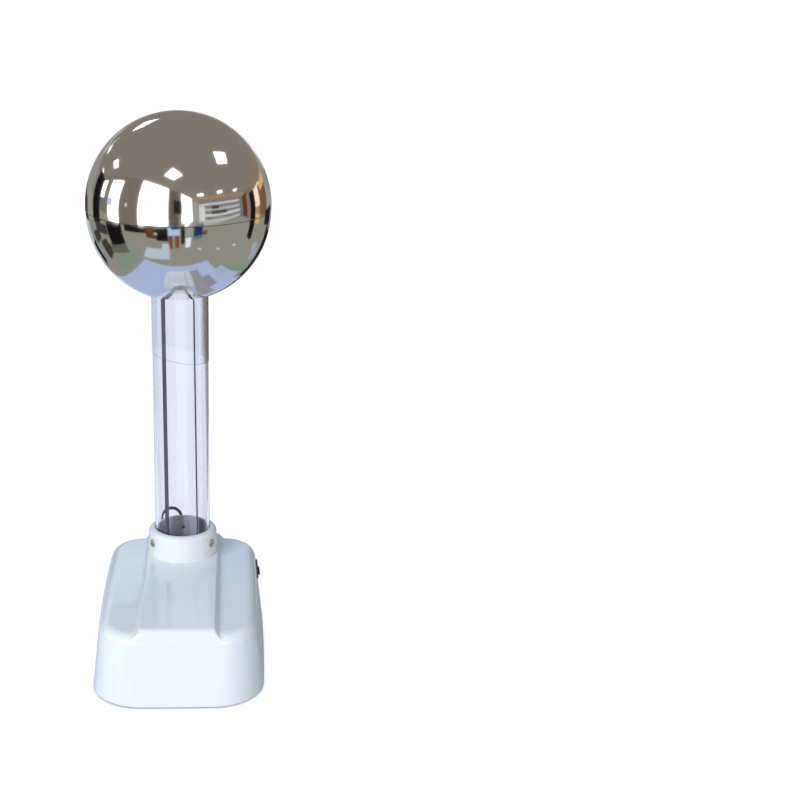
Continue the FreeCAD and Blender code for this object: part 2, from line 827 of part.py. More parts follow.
def film_sleeve():
    """A thin film wrapped round the tube under the sphere, its lower edge cut at a slant."""
    inner = tube_radius + running
    outer = inner + sleeve_thickness
    reach = 2 * outer
    drop = reach * sleeve_slant
    film = ring(outer, inner, sleeve_length + drop, Vector(0, 0, sleeve_low_edge - drop))
    low = sleeve_low_edge - 4 * drop
    wedge = rounded_face([(-reach, low, 0), (reach, low, 0), (reach, sleeve_low_edge - drop, 0),
                          (-reach, sleeve_low_edge + drop, 0)])
    wedge = moved(wedge.extrude(BACK * 2 * reach), 0, -reach, 0)
    return moved(film.cut(wedge), 0, column_y, 0)


def collar_screw(seat):
    """A cheese-head screw along +X that presses on the tube, with its head on the seat."""
    tip = tube_radius + running
    top = seat + collar_screw_head_height
    screw = fused(rod(set_screw_radius, seat - tip, Vector(tip, 0, 0), RIGHT),
                  rod(collar_screw_head, collar_screw_head_height, Vector(seat, 0, 0), RIGHT))
    return screw.cut(box(top - 0.8, top + 1, -collar_screw_head, collar_screw_head, -0.6, 0.6))


def collar_screws():
    """Two screws in their pockets at the front and one behind that also holds the lead's lug."""
    in_pocket = collar_top_radius - collar_counterbore
    on_lug = collar_foot_radius + lug_sheet + 2 * running
    seats = [in_pocket, in_pocket, on_lug]
    return [around_column(collar_screw(seat), t, collar_screw_z) for seat, t in zip(seats, turns)]


def tube_collar():
    """A turned collar round the tube's foot, with pockets for its screws."""
    bore = tube_radius + slip
    height = collar_height
    body = turned([(bore, 0, 0), (collar_foot_radius, 0, 0), (collar_top_radius, height, collar_round),
                   (bore + 0.5, height, 0), (bore, height - 0.5, 0)])
    seat = collar_top_radius - collar_counterbore
    body = moved(body, 0, column_y, base_height)
    shank = rod(set_screw_radius + slip, 2 * seat, Vector(0, 0, 0), RIGHT)
    pocket = rod(collar_screw_head + collar_screw_rim, seat, Vector(seat, 0, 0), RIGHT)
    holes = [around_column(shank, t, collar_screw_z) for t in turns]
    holes += [around_column(pocket, t, collar_screw_z) for t in turns[:2]]
    tap = rod(screw_radius + slip, screw_grip + 2 * play, Vector(fixing_radius, 0, -play))
    holes += [around_column(tap, t, base_height) for t in fixing_turns]
    return without(body, *holes)


def collar_fixing_screws():
    screw = pan_screw(screw_radius, wall + screw_grip, screw_head, screw_head_height)
    screw = moved(screw, fixing_radius, 0, 0)
    return [around_column(screw, t, base_height - wall) for t in fixing_turns]


# ---------------------------------------------------------------- collar lead
grommet_neck = 3.8
lug_radius = 4.8
lug_sheet = 0.8
barrel_wall = 0.8
lug_y = column_y + collar_foot_radius + running
barrel_y = lug_y + lug_sheet / 2 + lead_radius + barrel_wall
barrel_low = collar_screw_z + lug_radius - 0.5
barrel_length = lead_arch_height - slip - barrel_low
lead_start = barrel_low + 0.5
lead_end = plate_top + 3.0


def collar_lead():
    """An insulated lead: up from its lug, over in an arch and down through the grommet."""
    right = Vector(lead_right, barrel_y, lead_start)
    left = Vector(lead_left, lead_rear, lead_end)
    level = lead_arch_height
    span = Vector(left.x - right.x, left.y - right.y, 0)
    middle = Vector((left.x + right.x) / 2, (left.y + right.y) / 2, level)
    across = Vector(-span.y, span.x, 0).normalize()
    section = Part.Face(Part.Wire(Part.makeCircle(lead_radius, Vector(right.x, right.y, level), UP)))
    arch = section.revolve(middle, across, 180)
    if arch.BoundBox.ZMin < level - lead_radius:
        arch = section.revolve(middle, across, -180)
    rise = rod(lead_radius, level - lead_start, right)
    fall = rod(lead_radius, level - lead_end, left)
    return fused(arch, rise, fall)


def lead_lug():
    """A ring tag under the rear collar screw, with a barrel crimped on the lead."""
    half = lead_radius + 0.1
    bore_radius = lead_radius + running
    tag = rod(lug_radius, lug_sheet, Vector(0, lug_y, collar_screw_z), BACK)
    tongue = box(lead_right - half, lead_right + half, lug_y, lug_y + lug_sheet, collar_screw_z,
                 barrel_low + barrel_length)
    barrel = ring(lead_radius + barrel_wall, bore_radius, barrel_length,
                  Vector(lead_right, barrel_y, barrel_low))
    hole = rod(set_screw_radius + slip, 4.0, Vector(0, lug_y - 1, collar_screw_z), BACK)
    bore = rod(bore_radius, barrel_length + 3.0, Vector(lead_right, barrel_y, barrel_low - 3.0))
    return without(fused(tag, tongue, barrel), hole, bore)


def lead_grommet():
    """A rubber bush in the housing's top, with a flange above and below."""
    bore = lead_radius + running
    flange = grommet_neck + 1.6
    rim = flange - 0.6
    body = turned([(bore, -wall - 1.4, 0), (rim, -wall - 1.4, 0), (flange, -wall - 0.8, 0),
                   (flange, -wall, 0), (grommet_neck, -wall, 0), (grommet_neck, 0, 0), (flange, 0, 0),
                   (flange, 0.8, 0), (rim, 1.4, 0), (bore, 1.4, 0)])
    return moved(body, grommet_x, lead_rear, base_height)


def earth_tag():
    """The lead's lower end on the bottom plate: a ring tag bent up into a barrel."""
    x, y = tag_place
    half = lead_radius + 0.1
    plate = fused(rod(4.0, lug_sheet, Vector(x, y, plate_top)),
                  box(x - half, x + half, y, lead_rear, plate_top, plate_top + lug_sheet))
    barrel = ring(lead_radius + barrel_wall, lead_radius + running, 6.0,
                  Vector(lead_left, lead_rear, plate_top + lug_sheet / 2))
    return fused(plate, barrel).cut(rod(screw_radius + slip, 4.0, Vector(x, y, plate_top - 1)))


# ---------------------------------------------------------------- sphere
def ball_arc(centre_z, radius, start, end):
    """An arc of the sphere's profile between two angles below or above its equator."""
    def at(angle):
        return Vector(radius * cos(angle), 0, centre_z + radius * sin(angle))
    return Part.Arc(at(start), at((start + end) / 2), at(end)).toShape()


def profile_solid(edges):
    """Revolve a closed profile about the column's axis."""
    face = Part.Face(Part.Wire(Part.__sortEdges__(edges)))
    return moved(face.revolve(Vector(0, 0, 0), UP, 360), 0, column_y, 0)


def line(*points):
    return [Part.LineSegment(a, b).toShape() for a, b in zip(points, points[1:])]


neck_angle = -acos(neck_x / (lower_ball_radius - neck_roll))


def neck_arc(radius):
    """The rolled edge of the neck, from the lip round to the sphere."""
    def at(angle):
        return Vector(neck_x + radius * cos(angle), 0, neck_height + radius * sin(angle))
    return Part.Arc(at(-pi), at((neck_angle - pi) / 2), at(neck_angle)).toShape()


def lower_hemisphere():
    outer = lower_ball_radius
    inner = outer - shell_wall
    ledge = ball_radius - shell_wall - play
    step = 2.5
    inner_start = -atan2(step, sqrt(inner ** 2 - step ** 2))
    edges = [ball_arc(seam_height, outer, 0, neck_angle), neck_arc(neck_roll)]
    lip_outer = neck_radius + shell_wall
    edges += line(upright(neck_radius, neck_height), upright(neck_radius, lip_top),
                  upright(lip_outer, lip_top), upright(lip_outer, neck_height))
    edges += [neck_arc(neck_roll - shell_wall), ball_arc(seam_height, inner, neck_angle, inner_start)]
    edges += line(upright(inner * cos(inner_start), seam_height - step),
                  upright(ledge - shell_wall, seam_height - step),
                  upright(ledge - shell_wall, seam_height + lip_height),
                  upright(ledge, seam_height + lip_height), upright(ledge, seam_height),
                  upright(outer, seam_height))
    shell = profile_solid(edges)
    middle = (lip_top + lip_top - clamp_height) / 2
    hole = rod(set_screw_radius + slip, neck_radius + 2 * shell_wall, Vector(0, 0, 0), RIGHT)
    return without(shell, *[around_column(hole, t, middle) for t in turns])


def upper_dome():
    outer = ball_radius
    inner = outer - shell_wall
    low = seam_height + play
    top = pi / 2
    edges = [ball_arc(dome_centre, outer, 0, top), ball_arc(dome_centre, inner, 0, top)]
    edges += line(upright(outer, dome_centre), upright(outer, low), upright(inner, low),
                  upright(inner, dome_centre))
    edges += line(upright(0, dome_centre + inner), upright(0, dome_centre + outer))
    return profile_solid(edges)


clamp_inner = neck_radius + shell_wall + slip
clamp_outer = clamp_inner + clamp_width


def neck_clamp():
    """The ring round the neck's lip that carries the sphere's set screws."""
    body = ring(clamp_outer, clamp_inner, clamp_height, Vector(0, column_y, lip_top - clamp_height))
    hole = rod(set_screw_radius + slip, clamp_outer, Vector(neck_radius, 0, 0), RIGHT)
    return without(body, *[around_column(hole, t, lip_top - clamp_height / 2) for t in turns])


def set_screw(start, end):
    screw = rod(set_screw_radius, end - start, Vector(start, 0, 0), RIGHT)
    return screw.cut(box(end - set_screw_stand, end + set_screw_stand, -set_screw_radius,
                         set_screw_radius, -set_screw_slot, set_screw_slot))


def neck_screws():
    screw = set_screw(tube_radius + sleeve_thickness + slip + running, clamp_outer - 0.5)
    return [around_column(screw, t, lip_top - clamp_height / 2) for t in turns]


# ---------------------------------------------------------------- upper bracket, roller and comb
cheek_y = tube_bore + cheek_thickness / 2 + slip
flange_top = tube_top + bracket_wall


def upper_cheek(side):
    """One of the two walls that hold the upper axle."""
    half = cheek_half_width
    top = upper_roller_height + half
    turn = half * 0.8
    face = rounded_face([(-half, tube_top, 0), (half, tube_top, 0), (half, top, turn), (-half, top, turn)])
    near = column_y + side * cheek_y - cheek_thickness / 2
    return moved(face.extrude(BACK * cheek_thickness), upper_roller_shift, near, 0)


def upper_bracket():
    """A cap on the tube's end with two cheeks that hold the upper axle."""
    outer = tube_radius + slip + bracket_wall
    skirt = ring(outer, tube_radius + slip, bracket_skirt, Vector(0, column_y, tube_top - bracket_skirt))
    flange = ring(outer, tube_bore, bracket_wall, Vector(0, column_y, tube_top))
    body = fused(skirt, flange, upper_cheek(-1), upper_cheek(1))
    reach = cheek_y - cheek_thickness / 2
    mouth = rod(tube_bore, 2 * bracket_wall, Vector(0, column_y, tube_top - 1)).common(
        box(-tube_bore, tube_bore, column_y - reach, column_y + reach, tube_top - 2, flange_top + 1))
    axle = rod(upper_axle_radius + running, 4 * tube_radius,
               Vector(upper_roller_shift, column_y - 2 * tube_radius, upper_roller_height), BACK)
    level = tube_top - bracket_skirt / 2
    hole = rod(set_screw_radius + slip, outer, Vector(tube_bore, 0, 0), RIGHT)
    holes = [around_column(hole, t + bracket_screw_turn, level).common(skirt) for t in turns]
    holes.append(rod(tiny_screw_radius + slip, 2 * bracket_wall,
                     Vector(comb_screw_x, column_y, flange_top - 2 * bracket_wall)))
    return without(body, mouth, axle, *holes)


def bracket_screws():
    screw = set_screw(tube_radius + running, tube_radius + slip + bracket_wall + set_screw_stand)
    level = tube_top - bracket_skirt / 2
    return [around_column(screw, t + bracket_screw_turn, level) for t in turns]


def upper_axle():
    half = cheek_y + cheek_thickness / 2 + slip + nut_height + 1.4
    start = Vector(upper_roller_shift, column_y - half, upper_roller_height)
    return rod(upper_axle_radius, 2 * half, start, BACK)


def hexagon(size, height):
    points = [(size * cos(pi / 3 * i), size * sin(pi / 3 * i), 0) for i in range(6)]
    return rounded_face(points, flat).extrude(UP * height)


def axle_nuts():
    """Hexagon nuts on both ends of the upper axle."""
    nut = hexagon(nut_size, nut_height).cut(rod(upper_axle_radius + running, nut_height, Vector(0, 0, 0)))
    outside = cheek_y + cheek_thickness / 2 + slip
    return [lying(nut, y, upper_roller_height, upper_roller_shift)
            for y in (column_y + outside, column_y - outside - nut_height)]


def axle_spacers():
    gap = cheek_y - cheek_thickness / 2 - roller_length / 2
    spacer = ring(spacer_radius, upper_axle_radius + running, gap - play - slip, Vector(0, 0, 0))
    low = column_y - cheek_y + cheek_thickness / 2 + slip
    high = column_y + roller_length / 2 + play
    return [lying(spacer, y, upper_roller_height, upper_roller_shift) for y in (low, high)]


def upper_roller():
    body = crowned_roller(upper_roller_radius, upper_axle_radius + 1.0)
    half = roller_length / 2
    seats = [rod(small_bearing_radius + slip, small_bearing_width, Vector(0, 0, z))
             for z in (-half, half - small_bearing_width)]
    return lying(without(body, *seats), column_y, upper_roller_height, upper_roller_shift)


def roller_bearings():
    half = roller_length / 2
    rings = [ring(small_bearing_radius, upper_axle_radius + running, small_bearing_width, Vector(0, 0, z))
             for z in (-half, half - small_bearing_width)]
    return [lying(r, column_y, upper_roller_height, upper_roller_shift) for r in rings]


comb_x = tube_bore + bracket_wall / 2
comb_screw_x = tube_radius + slip + bracket_wall / 2


def upper_comb():
    """Bent sheet: a foot on the bracket, an upright, and a toothed edge beside the belt."""
    tip = upper_roller_shift + upper_pitch + belt_thickness + comb_gap
    level = upper_roller_height - 2.0
    half = leaf_width / 2 + 2.0
    near = comb_x - comb_sheet / 2
    far = comb_x + comb_sheet / 2
    foot = box(near, tube_radius + slip + bracket_wall - 0.4, -half, half, flange_top,
               flange_top + comb_sheet)
    stem = box(near, far, -half, half, flange_top, level)
    bar = box(near, far, -belt_width / 2, belt_width / 2, level - leaf_width, level)
    teeth = moved(turned_over(toothed_sheet(belt_width, far - tip, comb_sheet), BACK, -90),
                  far, 0, level - comb_sheet / 2)
    hole = rod(tiny_screw_radius + slip, 3 * comb_sheet, Vector(comb_screw_x, 0, flange_top - 1))
    return moved(without(fused(foot, stem, bar, teeth), hole), 0, column_y, 0)


def upper_comb_screw():
    """The one screw that holds the comb and the leaf on the bracket."""
    length = leaf_sheet + comb_sheet + bracket_wall + tiny_screw_radius
    screw = turned_over(pan_screw(tiny_screw_radius, length, tiny_screw_head, 1.2), RIGHT, 180)
    return moved(screw, comb_screw_x, column_y, flange_top + comb_sheet + leaf_sheet)


def contact_leaf():
    """A springy strip from the comb out to the sphere's wall, with a rolled tip."""
    inner = lower_ball_radius - shell_wall
    level = flange_top + comb_sheet
    centre_z = level + leaf_roll
    half = leaf_width / 2
    reach = sqrt((inner - leaf_roll) ** 2 - (seam_height - centre_z) ** 2) - 2 * slip
    start = comb_x + comb_sheet / 2 + running
    strip = box(start, reach, -half, half, level, level + leaf_sheet)
    tip = ring(leaf_roll, leaf_roll - leaf_sheet, leaf_width, Vector(reach, -half, centre_z), BACK)
    hole = rod(tiny_screw_radius + slip, 2.0, Vector(comb_screw_x, 0, level - 1))
    return moved(without(fused(strip, tip), hole), 0, column_y, 0)


# ---------------------------------------------------------------- switch
def bezel_plate():
    return box(-0.35, 1.6, -switch_length / 2, switch_length / 2, -switch_width / 2, switch_width / 2)


rocker_half_length = switch_length / 2 - bezel - 1.2
rocker_half_width = switch_width / 2 - bezel - 1.0
rocker_radius = rocker_half_length + 1.6


def switch_body():
    body = fused(bezel_plate(), switch_body_space(0.0))
    body = single(body.makeFillet(0.7, [e for e in body.Edges if e.BoundBox.XMin > 1.55]))
    half_y = rocker_half_length + play + 0.7
    half_z = rocker_half_width + play
    well = box(-rocker_radius + 0.4, 3, -half_y, half_y, -half_z, half_z)
    terminals = [box(-switch_depth - 6, -switch_depth, y - 2.4, y + 2.4, -0.4, 0.4) for y in (-4.5, 4.5)]
    pin = rod(1.0, 2 * half_z + 1.0, Vector(0, 0, -half_z - 0.5), UP)
    return on_right_wall(fused(body.cut(well), pin, *terminals))


def switch_rocker():
    """A seesaw on a pin across the bezel, one side down at rest."""
    reach = rocker_half_length
    half = rocker_half_width
    face = rounded_face([(-reach, -2.6, 0.8), (reach, -2.6, 0.8), (reach, 2.6, 0.5), (0, 1.4, rocker_dip),
                         (-reach, 2.6, 0.5)], lambda u, v: Vector(v, u, -half))
    rocker = face.extrude(UP * 2 * half)
    rocker = rocker.cut(rod(1.0 + running, 4 * half, Vector(0, 0, -2 * half), UP))
    return on_right_wall(turned_over(rocker, UP, rocker_tilt))


# ---------------------------------------------------------------- rear panel
def inlet_outline(half_width, half_height, bevel):
    """The appliance inlet's outline, with its two bevelled corners towards +Z on the panel."""
    w = half_width
    h = half_height
    points = [(-w, -h, 0), (w, -h, 0), (w, h - bevel, 0), (w - bevel, h, 0), (-w + bevel, h, 0),
              (-w, h - bevel, 0)]
    return rounded_face(points, lambda u, v: Vector(u, -v, 0))


def inlet_prism(extra, low, high):
    """The inlet's body outline between two depths."""
    outline = inlet_outline(inlet_width / 2 + extra, inlet_height / 2 + extra, inlet_bevel)
    return moved(outline.extrude(UP * (high - low)), 0, 0, low)


def inlet_screw_places():
    reach = inlet_width / 2 + inlet_ear / 2
    return [inlet_x - reach, inlet_x + reach]


def mains_inlet():
    """A three-pin appliance inlet: a flange on the panel, a body behind it and the socket's well."""
    tall = inlet_height / 2 + 1.5
    corner = inlet_ear * 0.7
    flange = rounded_face([(-inlet_flange, -tall, corner), (inlet_flange, -tall, corner),
                           (inlet_flange, tall, corner), (-inlet_flange, tall, corner)],
                          flat).extrude(UP * inlet_sheet)
    well = inlet_outline(inlet_mouth_width / 2, inlet_mouth_height / 2, inlet_bevel - 1.0)
    well = moved(well.extrude(UP * (inlet_mouth_depth + 1)), 0, 0, inlet_sheet - inlet_mouth_depth)
    body = fused(flange, inlet_prism(0.0, -inlet_depth, 0.0))
    holes = [rod(screw_radius + slip, 5.0, Vector(x - inlet_x, 0, -1)) for x in inlet_screw_places()]
    return on_panel(without(body, well, *holes), inlet_x)


def inlet_pins():
    low = inlet_sheet - inlet_mouth_depth
    pins = []
    for x, up in ((-7.0, -2.0), (7.0, -2.0), (0.0, 2.0)):
        blade = box(x - 1.0, x + 1.0, -up - 2.0, -up + 2.0, low, low + inlet_mouth_depth - 3.0)
        pins.append(on_panel(blade, inlet_x))
    return pins


def inlet_screws():
    length = inlet_sheet + wall + screw_grip / 2
    screw = turned_over(pan_screw(screw_radius, length, screw_head, screw_head_height), RIGHT, 180)
    return [on_panel(moved(screw, 0, 0, inlet_sheet), x) for x in inlet_screw_places()]


def rear_panel_screws():
    length = wall + panel_tab_depth - 0.5
    screw = turned_over(pan_screw(screw_radius, length, screw_head, screw_head_height), RIGHT, 180)
    return [on_panel(moved(screw, 0, v, 0), x) for x, v in panel_screw_places]


def fuse_holder():
    """A tube through the panel with a rim outside, hollow for the plug."""
    body = fused(rod(fuse_radius, fuse_depth, Vector(0, 0, -fuse_depth)),
                 rod(fuse_radius + fuse_rim, fuse_flange, Vector(0, 0, 0)))
    depth = fuse_depth - 2.0
    return on_panel(body.cut(rod(fuse_plug + play, depth, Vector(0, 0, fuse_flange - depth))), fuse_x)


def fuse_cap():
    """A slotted grip outside and the plug that carries the fuse."""
    seat = fuse_flange + play
    end = fuse_flange + fuse_grip
    grip = turned([(0, seat, 0), (fuse_radius, seat, 0), (fuse_radius, end - 0.6, 0),
                   (fuse_radius - 0.6, end, 0), (0, end, 0)])
    plug = rod(fuse_plug, fuse_depth / 2, Vector(0, 0, seat - fuse_depth / 2))
    slot = box(-fuse_radius, fuse_radius, -0.6, 0.6, end - 1.2, end + 1)
    return on_panel(fused(grip, plug).cut(slot), fuse_x)


def earth_socket():
    """An insulated bush through the panel with a rim outside."""
    rim = socket_radius + socket_rim
    body = fused(rod(socket_radius, socket_depth, Vector(0, 0, -socket_depth)),
                 turned([(0, 0, 0), (rim, 0, 0), (rim, 2.4, 0), (rim - 0.6, 3.0, 0), (0, 3.0, 0)]))
    bore = rod(socket_bore + socket_sleeve, socket_depth + 1.0, Vector(0, 0, 3.0 - socket_depth))
    return on_panel(body.cut(bore), socket_x)


def earth_contact():
    """The metal sleeve that a plug goes into."""
    length = socket_depth - 0.5
    start = Vector(0, 0, 3.0 - socket_depth + running)
    return on_panel(ring(socket_bore + socket_sleeve - running, socket_bore, length, start), socket_x)


def panel_nut(radius, x):
    """A hexagon nut behind the panel."""
    nut = hexagon(radius + 3.0, 3.0).cut(rod(radius + running, 3.0, Vector(0, 0, 0)))
    return on_panel(moved(nut, 0, 0, -wall - 3.0 - slip), x)


# ---------------------------------------------------------------- build
def build():
    os.makedirs("parts", exist_ok=True)
    save("base_housing", base_housing())
    save("bottom_plate", bottom_plate())
    save("bottom_plate_screws", *plate_screws(boss_places, plate_thickness + screw_grip))
    save("rubber_feet", *[moved(rubber_foot(), x, y, 0) for x, y in foot_places])
    save("motor_body", motor_body())
    save("motor_shaft", motor_shaft())
    save("motor_cradle", motor_cradle())
    save("cradle_screws", *plate_screws(cradle_places, plate_thickness + screw_grip))
    save("motor_straps", *[motor_strap(y) for y in (saddle_front, saddle_rear)])
    save("strap_screws", *strap_screws())
    save("shaft_coupling", shaft_coupling())
    save("coupling_screws", *coupling_screws())
    save("drive_axle", drive_axle())
    save("drive_axle_clip", drive_axle_clip())
    save("lower_roller", lower_roller())
    save("lower_bearings", *[bearing(column_y + s * stand_offset) for s in (-1, 1)])
    save("front_bearing_stand", bearing_stand(column_y - stand_offset, -1))
    save("rear_bearing_stand", bearing_stand(stand_rear, 1))
    save("stand_screws", *plate_screws(stand_places, plate_thickness + stand_thickness - 0.5))
    save("lower_comb", lower_comb())
    save("comb_screws", *plate_screws(comb_places, plate_thickness + comb_sheet + screw_radius))
    save("drive_belt", drive_belt())
    save("tube_collar", tube_collar())
    save("collar_screws", *collar_screws())
    save("collar_fixing_screws", *collar_fixing_screws())
    save("column_tube", column_tube())
    save("film_sleeve", film_sleeve())
    save("collar_lead", collar_lead())
    save("lead_lug", lead_lug())
    save("lead_grommet", lead_grommet())
    save("earth_tag", earth_tag())
    save("earth_tag_screw", *plate_screws([tag_place], plate_thickness + lug_sheet + screw_radius))
    save("lower_hemisphere", lower_hemisphere())
    save("neck_clamp", neck_clamp())
    save("neck_screws", *neck_screws())
    save("upper_dome", upper_dome())
    save("upper_bracket", upper_bracket())
    save("bracket_screws", *bracket_screws())
    save("upper_axle", upper_axle())
    save("axle_nuts", *axle_nuts())
    save("axle_spacers", *axle_spacers())
    save("upper_roller", upper_roller())
    save("roller_bearings", *roller_bearings())
    save("upper_comb", upper_comb())
    save("upper_comb_screw", upper_comb_screw())
    save("contact_leaf", contact_leaf())
    save("switch_body", switch_body())
    save("switch_rocker", switch_rocker())
    save("rear_panel", rear_panel())
    save("rear_panel_screws", *rear_panel_screws())
    save("mains_inlet", mains_inlet())
    save("inlet_pins", *inlet_pins())
    save("inlet_screws", *inlet_screws())
    save("fuse_holder", fuse_holder())
    save("fuse_cap", fuse_cap())
    save("earth_socket", earth_socket())
    save("earth_contact", earth_contact())
    save("panel_nuts", panel_nut(fuse_radius, fuse_x), panel_nut(socket_radius, socket_x))


build()
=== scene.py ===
import bpy
import bmesh
import json
import math
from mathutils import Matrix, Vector

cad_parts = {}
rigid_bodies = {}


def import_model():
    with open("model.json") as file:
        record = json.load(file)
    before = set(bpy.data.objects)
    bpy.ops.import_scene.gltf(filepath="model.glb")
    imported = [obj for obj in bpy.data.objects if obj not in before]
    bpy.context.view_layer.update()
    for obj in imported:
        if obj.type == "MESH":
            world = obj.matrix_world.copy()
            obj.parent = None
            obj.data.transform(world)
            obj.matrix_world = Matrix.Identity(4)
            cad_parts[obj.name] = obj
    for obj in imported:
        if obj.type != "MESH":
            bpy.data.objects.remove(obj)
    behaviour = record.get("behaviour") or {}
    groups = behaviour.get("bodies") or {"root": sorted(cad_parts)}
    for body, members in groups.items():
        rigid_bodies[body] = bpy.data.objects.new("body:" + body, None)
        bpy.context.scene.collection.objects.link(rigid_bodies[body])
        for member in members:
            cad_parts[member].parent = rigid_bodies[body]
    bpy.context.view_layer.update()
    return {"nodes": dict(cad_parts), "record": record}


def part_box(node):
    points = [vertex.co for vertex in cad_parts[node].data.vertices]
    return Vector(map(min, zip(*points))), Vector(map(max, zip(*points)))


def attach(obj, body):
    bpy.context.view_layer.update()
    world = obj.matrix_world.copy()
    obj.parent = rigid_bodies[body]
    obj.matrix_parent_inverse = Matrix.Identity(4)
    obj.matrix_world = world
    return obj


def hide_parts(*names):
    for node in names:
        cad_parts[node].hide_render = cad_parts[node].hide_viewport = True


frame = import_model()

nodes = frame["nodes"]
print("frame loaded with", len(nodes), "nodes")


# small tools

def nothingSelected():
    for item in bpy.data.objects:
        item.select_set(False)


def editing(piece):
    nothingSelected()
    piece.select_set(True)
    bpy.context.view_layer.objects.active = piece
    bpy.ops.object.mode_set(mode="EDIT")
    return bmesh.from_edit_mesh(piece.data)


def doneEditing():
    bpy.ops.object.mode_set(mode="OBJECT")


def newPiece(name):
    piece = bpy.context.object
    piece.name = name
    piece.data.name = name
    bpy.ops.object.transform_apply(location=True, rotation=True, scale=True)
    return piece


def pick(mesh, kind, test):
    # selects the vertices, edges or faces that pass the test, and nothing else
    for group in (mesh.verts, mesh.edges, mesh.faces):
        for item in group:
            item.select = False
    bpy.ops.mesh.select_mode(type={"verts": "VERT", "edges": "EDGE", "faces": "FACE"}[kind])
    found = [item for item in getattr(mesh, kind) if test(item)]
    for item in found:
        item.select_set(True)
    mesh.select_flush_mode()
    return found


def applied(piece, kind, **settings):
    nothingSelected()
    piece.select_set(True)
    bpy.context.view_layer.objects.active = piece
    modifier = piece.modifiers.new(kind.lower(), kind)
    for key, value in settings.items():
        setattr(modifier, key, value)
    bpy.ops.object.modifier_apply(modifier=modifier.name)


def smooth(piece, angle=40):
    nothingSelected()
    piece.select_set(True)
    bpy.context.view_layer.objects.active = piece
    bpy.ops.object.shade_smooth_by_angle(angle=math.radians(angle))


def rimMove(mesh, atRim, centre, radius, height):
    # one extrusion of an open round rim to a new radius and height
    rim = pick(mesh, "edges", lambda edge: edge.is_boundary and atRim(edge))
    here = rim[0].verts[0].co.copy()
    bpy.ops.mesh.extrude_edges_move(TRANSFORM_OT_translate={"value": (0, 0, height - here.z)})
    wide = math.hypot(here.x - centre[0], here.y - centre[1])
    share = radius / wide
    bpy.ops.transform.resize(value=(share, share, 1), center_override=(centre[0], centre[1], height))


# finishes

def makeMaterial(name):
    material = bpy.data.materials.new(name)
    material.use_nodes = True
    tree = material.node_tree
    shader = tree.nodes["Principled BSDF"]
    place = tree.nodes.new("ShaderNodeTexCoord")
    return material, tree, shader, place


def patternFor(tree, place, kind, scale, stretch=(1, 1, 1), centre=(0, 0, 0), detail=4.0):
    mapping = tree.nodes.new("ShaderNodeMapping")
    mapping.inputs["Location"].default_value = [-c * s for c, s in zip(centre, stretch)]
    mapping.inputs["Scale"].default_value = stretch
    tree.links.new(place.outputs["Object"], mapping.inputs["Vector"])
    if kind == "noise":
        pattern = tree.nodes.new("ShaderNodeTexNoise")
        pattern.inputs["Scale"].default_value = scale
        pattern.inputs["Detail"].default_value = detail
        tree.links.new(mapping.outputs[0], pattern.inputs["Vector"])
        return pattern.outputs["Fac"]
    if kind == "cells":
        pattern = tree.nodes.new("ShaderNodeTexVoronoi")
        pattern.inputs["Scale"].default_value = scale
        tree.links.new(mapping.outputs[0], pattern.inputs["Vector"])
        return pattern.outputs["Distance"]
    pattern = tree.nodes.new("ShaderNodeTexWave")
    pattern.wave_type = "RINGS" if kind == "rings" else "BANDS"
    if kind == "rings":
        pattern.rings_direction = "Z"
    else:
        pattern.bands_direction = "Z"
    pattern.inputs["Scale"].default_value = scale
    pattern.inputs["Distortion"].default_value = 0.6
    pattern.inputs["Detail"].default_value = detail
    tree.links.new(mapping.outputs[0], pattern.inputs["Vector"])
    return pattern.outputs["Fac"]


def spread(tree, source, low, high):
    change = tree.nodes.new("ShaderNodeMapRange")
    change.inputs["To Min"].default_value = low
    change.inputs["To Max"].default_value = high
    tree.links.new(source, change.inputs["Value"])
    return change.outputs["Result"]


def measured(tree, source, start, end):
    # 0 at start and 1 at end, and held there beyond them
    change = tree.nodes.new("ShaderNodeMapRange")
    change.inputs["From Min"].default_value = start
    change.inputs["From Max"].default_value = end
    tree.links.new(source, change.inputs["Value"])
    return change.outputs["Result"]


def blended(tree, source, first, second, start=0.35, end=0.65):
    ramp = tree.nodes.new("ShaderNodeValToRGB")
    ramp.color_ramp.elements[0].position = start
    ramp.color_ramp.elements[1].position = end
    ramp.color_ramp.elements[0].color = (*first, 1)
    ramp.color_ramp.elements[1].color = (*second, 1)
    tree.links.new(source, ramp.inputs["Fac"])
    return ramp.outputs["Color"]


def raySeen(tree, *kinds):
    # 1 for a ray of one of these kinds, else 0
    rays = tree.nodes.new("ShaderNodeLightPath")
    seen = rays.outputs[kinds[0]]
    for kind in kinds[1:]:
        either = tree.nodes.new("ShaderNodeMath")
        either.operation = "MAXIMUM"
        tree.links.new(seen, either.inputs[0])
        tree.links.new(rays.outputs[kind], either.inputs[1])
        seen = either.outputs[0]
    return seen


def mixed(tree, share, first, second):
    # the first shader where the share is 0 and the second where it is 1
    mix = tree.nodes.new("ShaderNodeMixShader")
    tree.links.new(share, mix.inputs["Fac"])
    tree.links.new(first.outputs[0], mix.inputs[1])
    tree.links.new(second.outputs[0], mix.inputs[2])
    return mix.outputs[0]


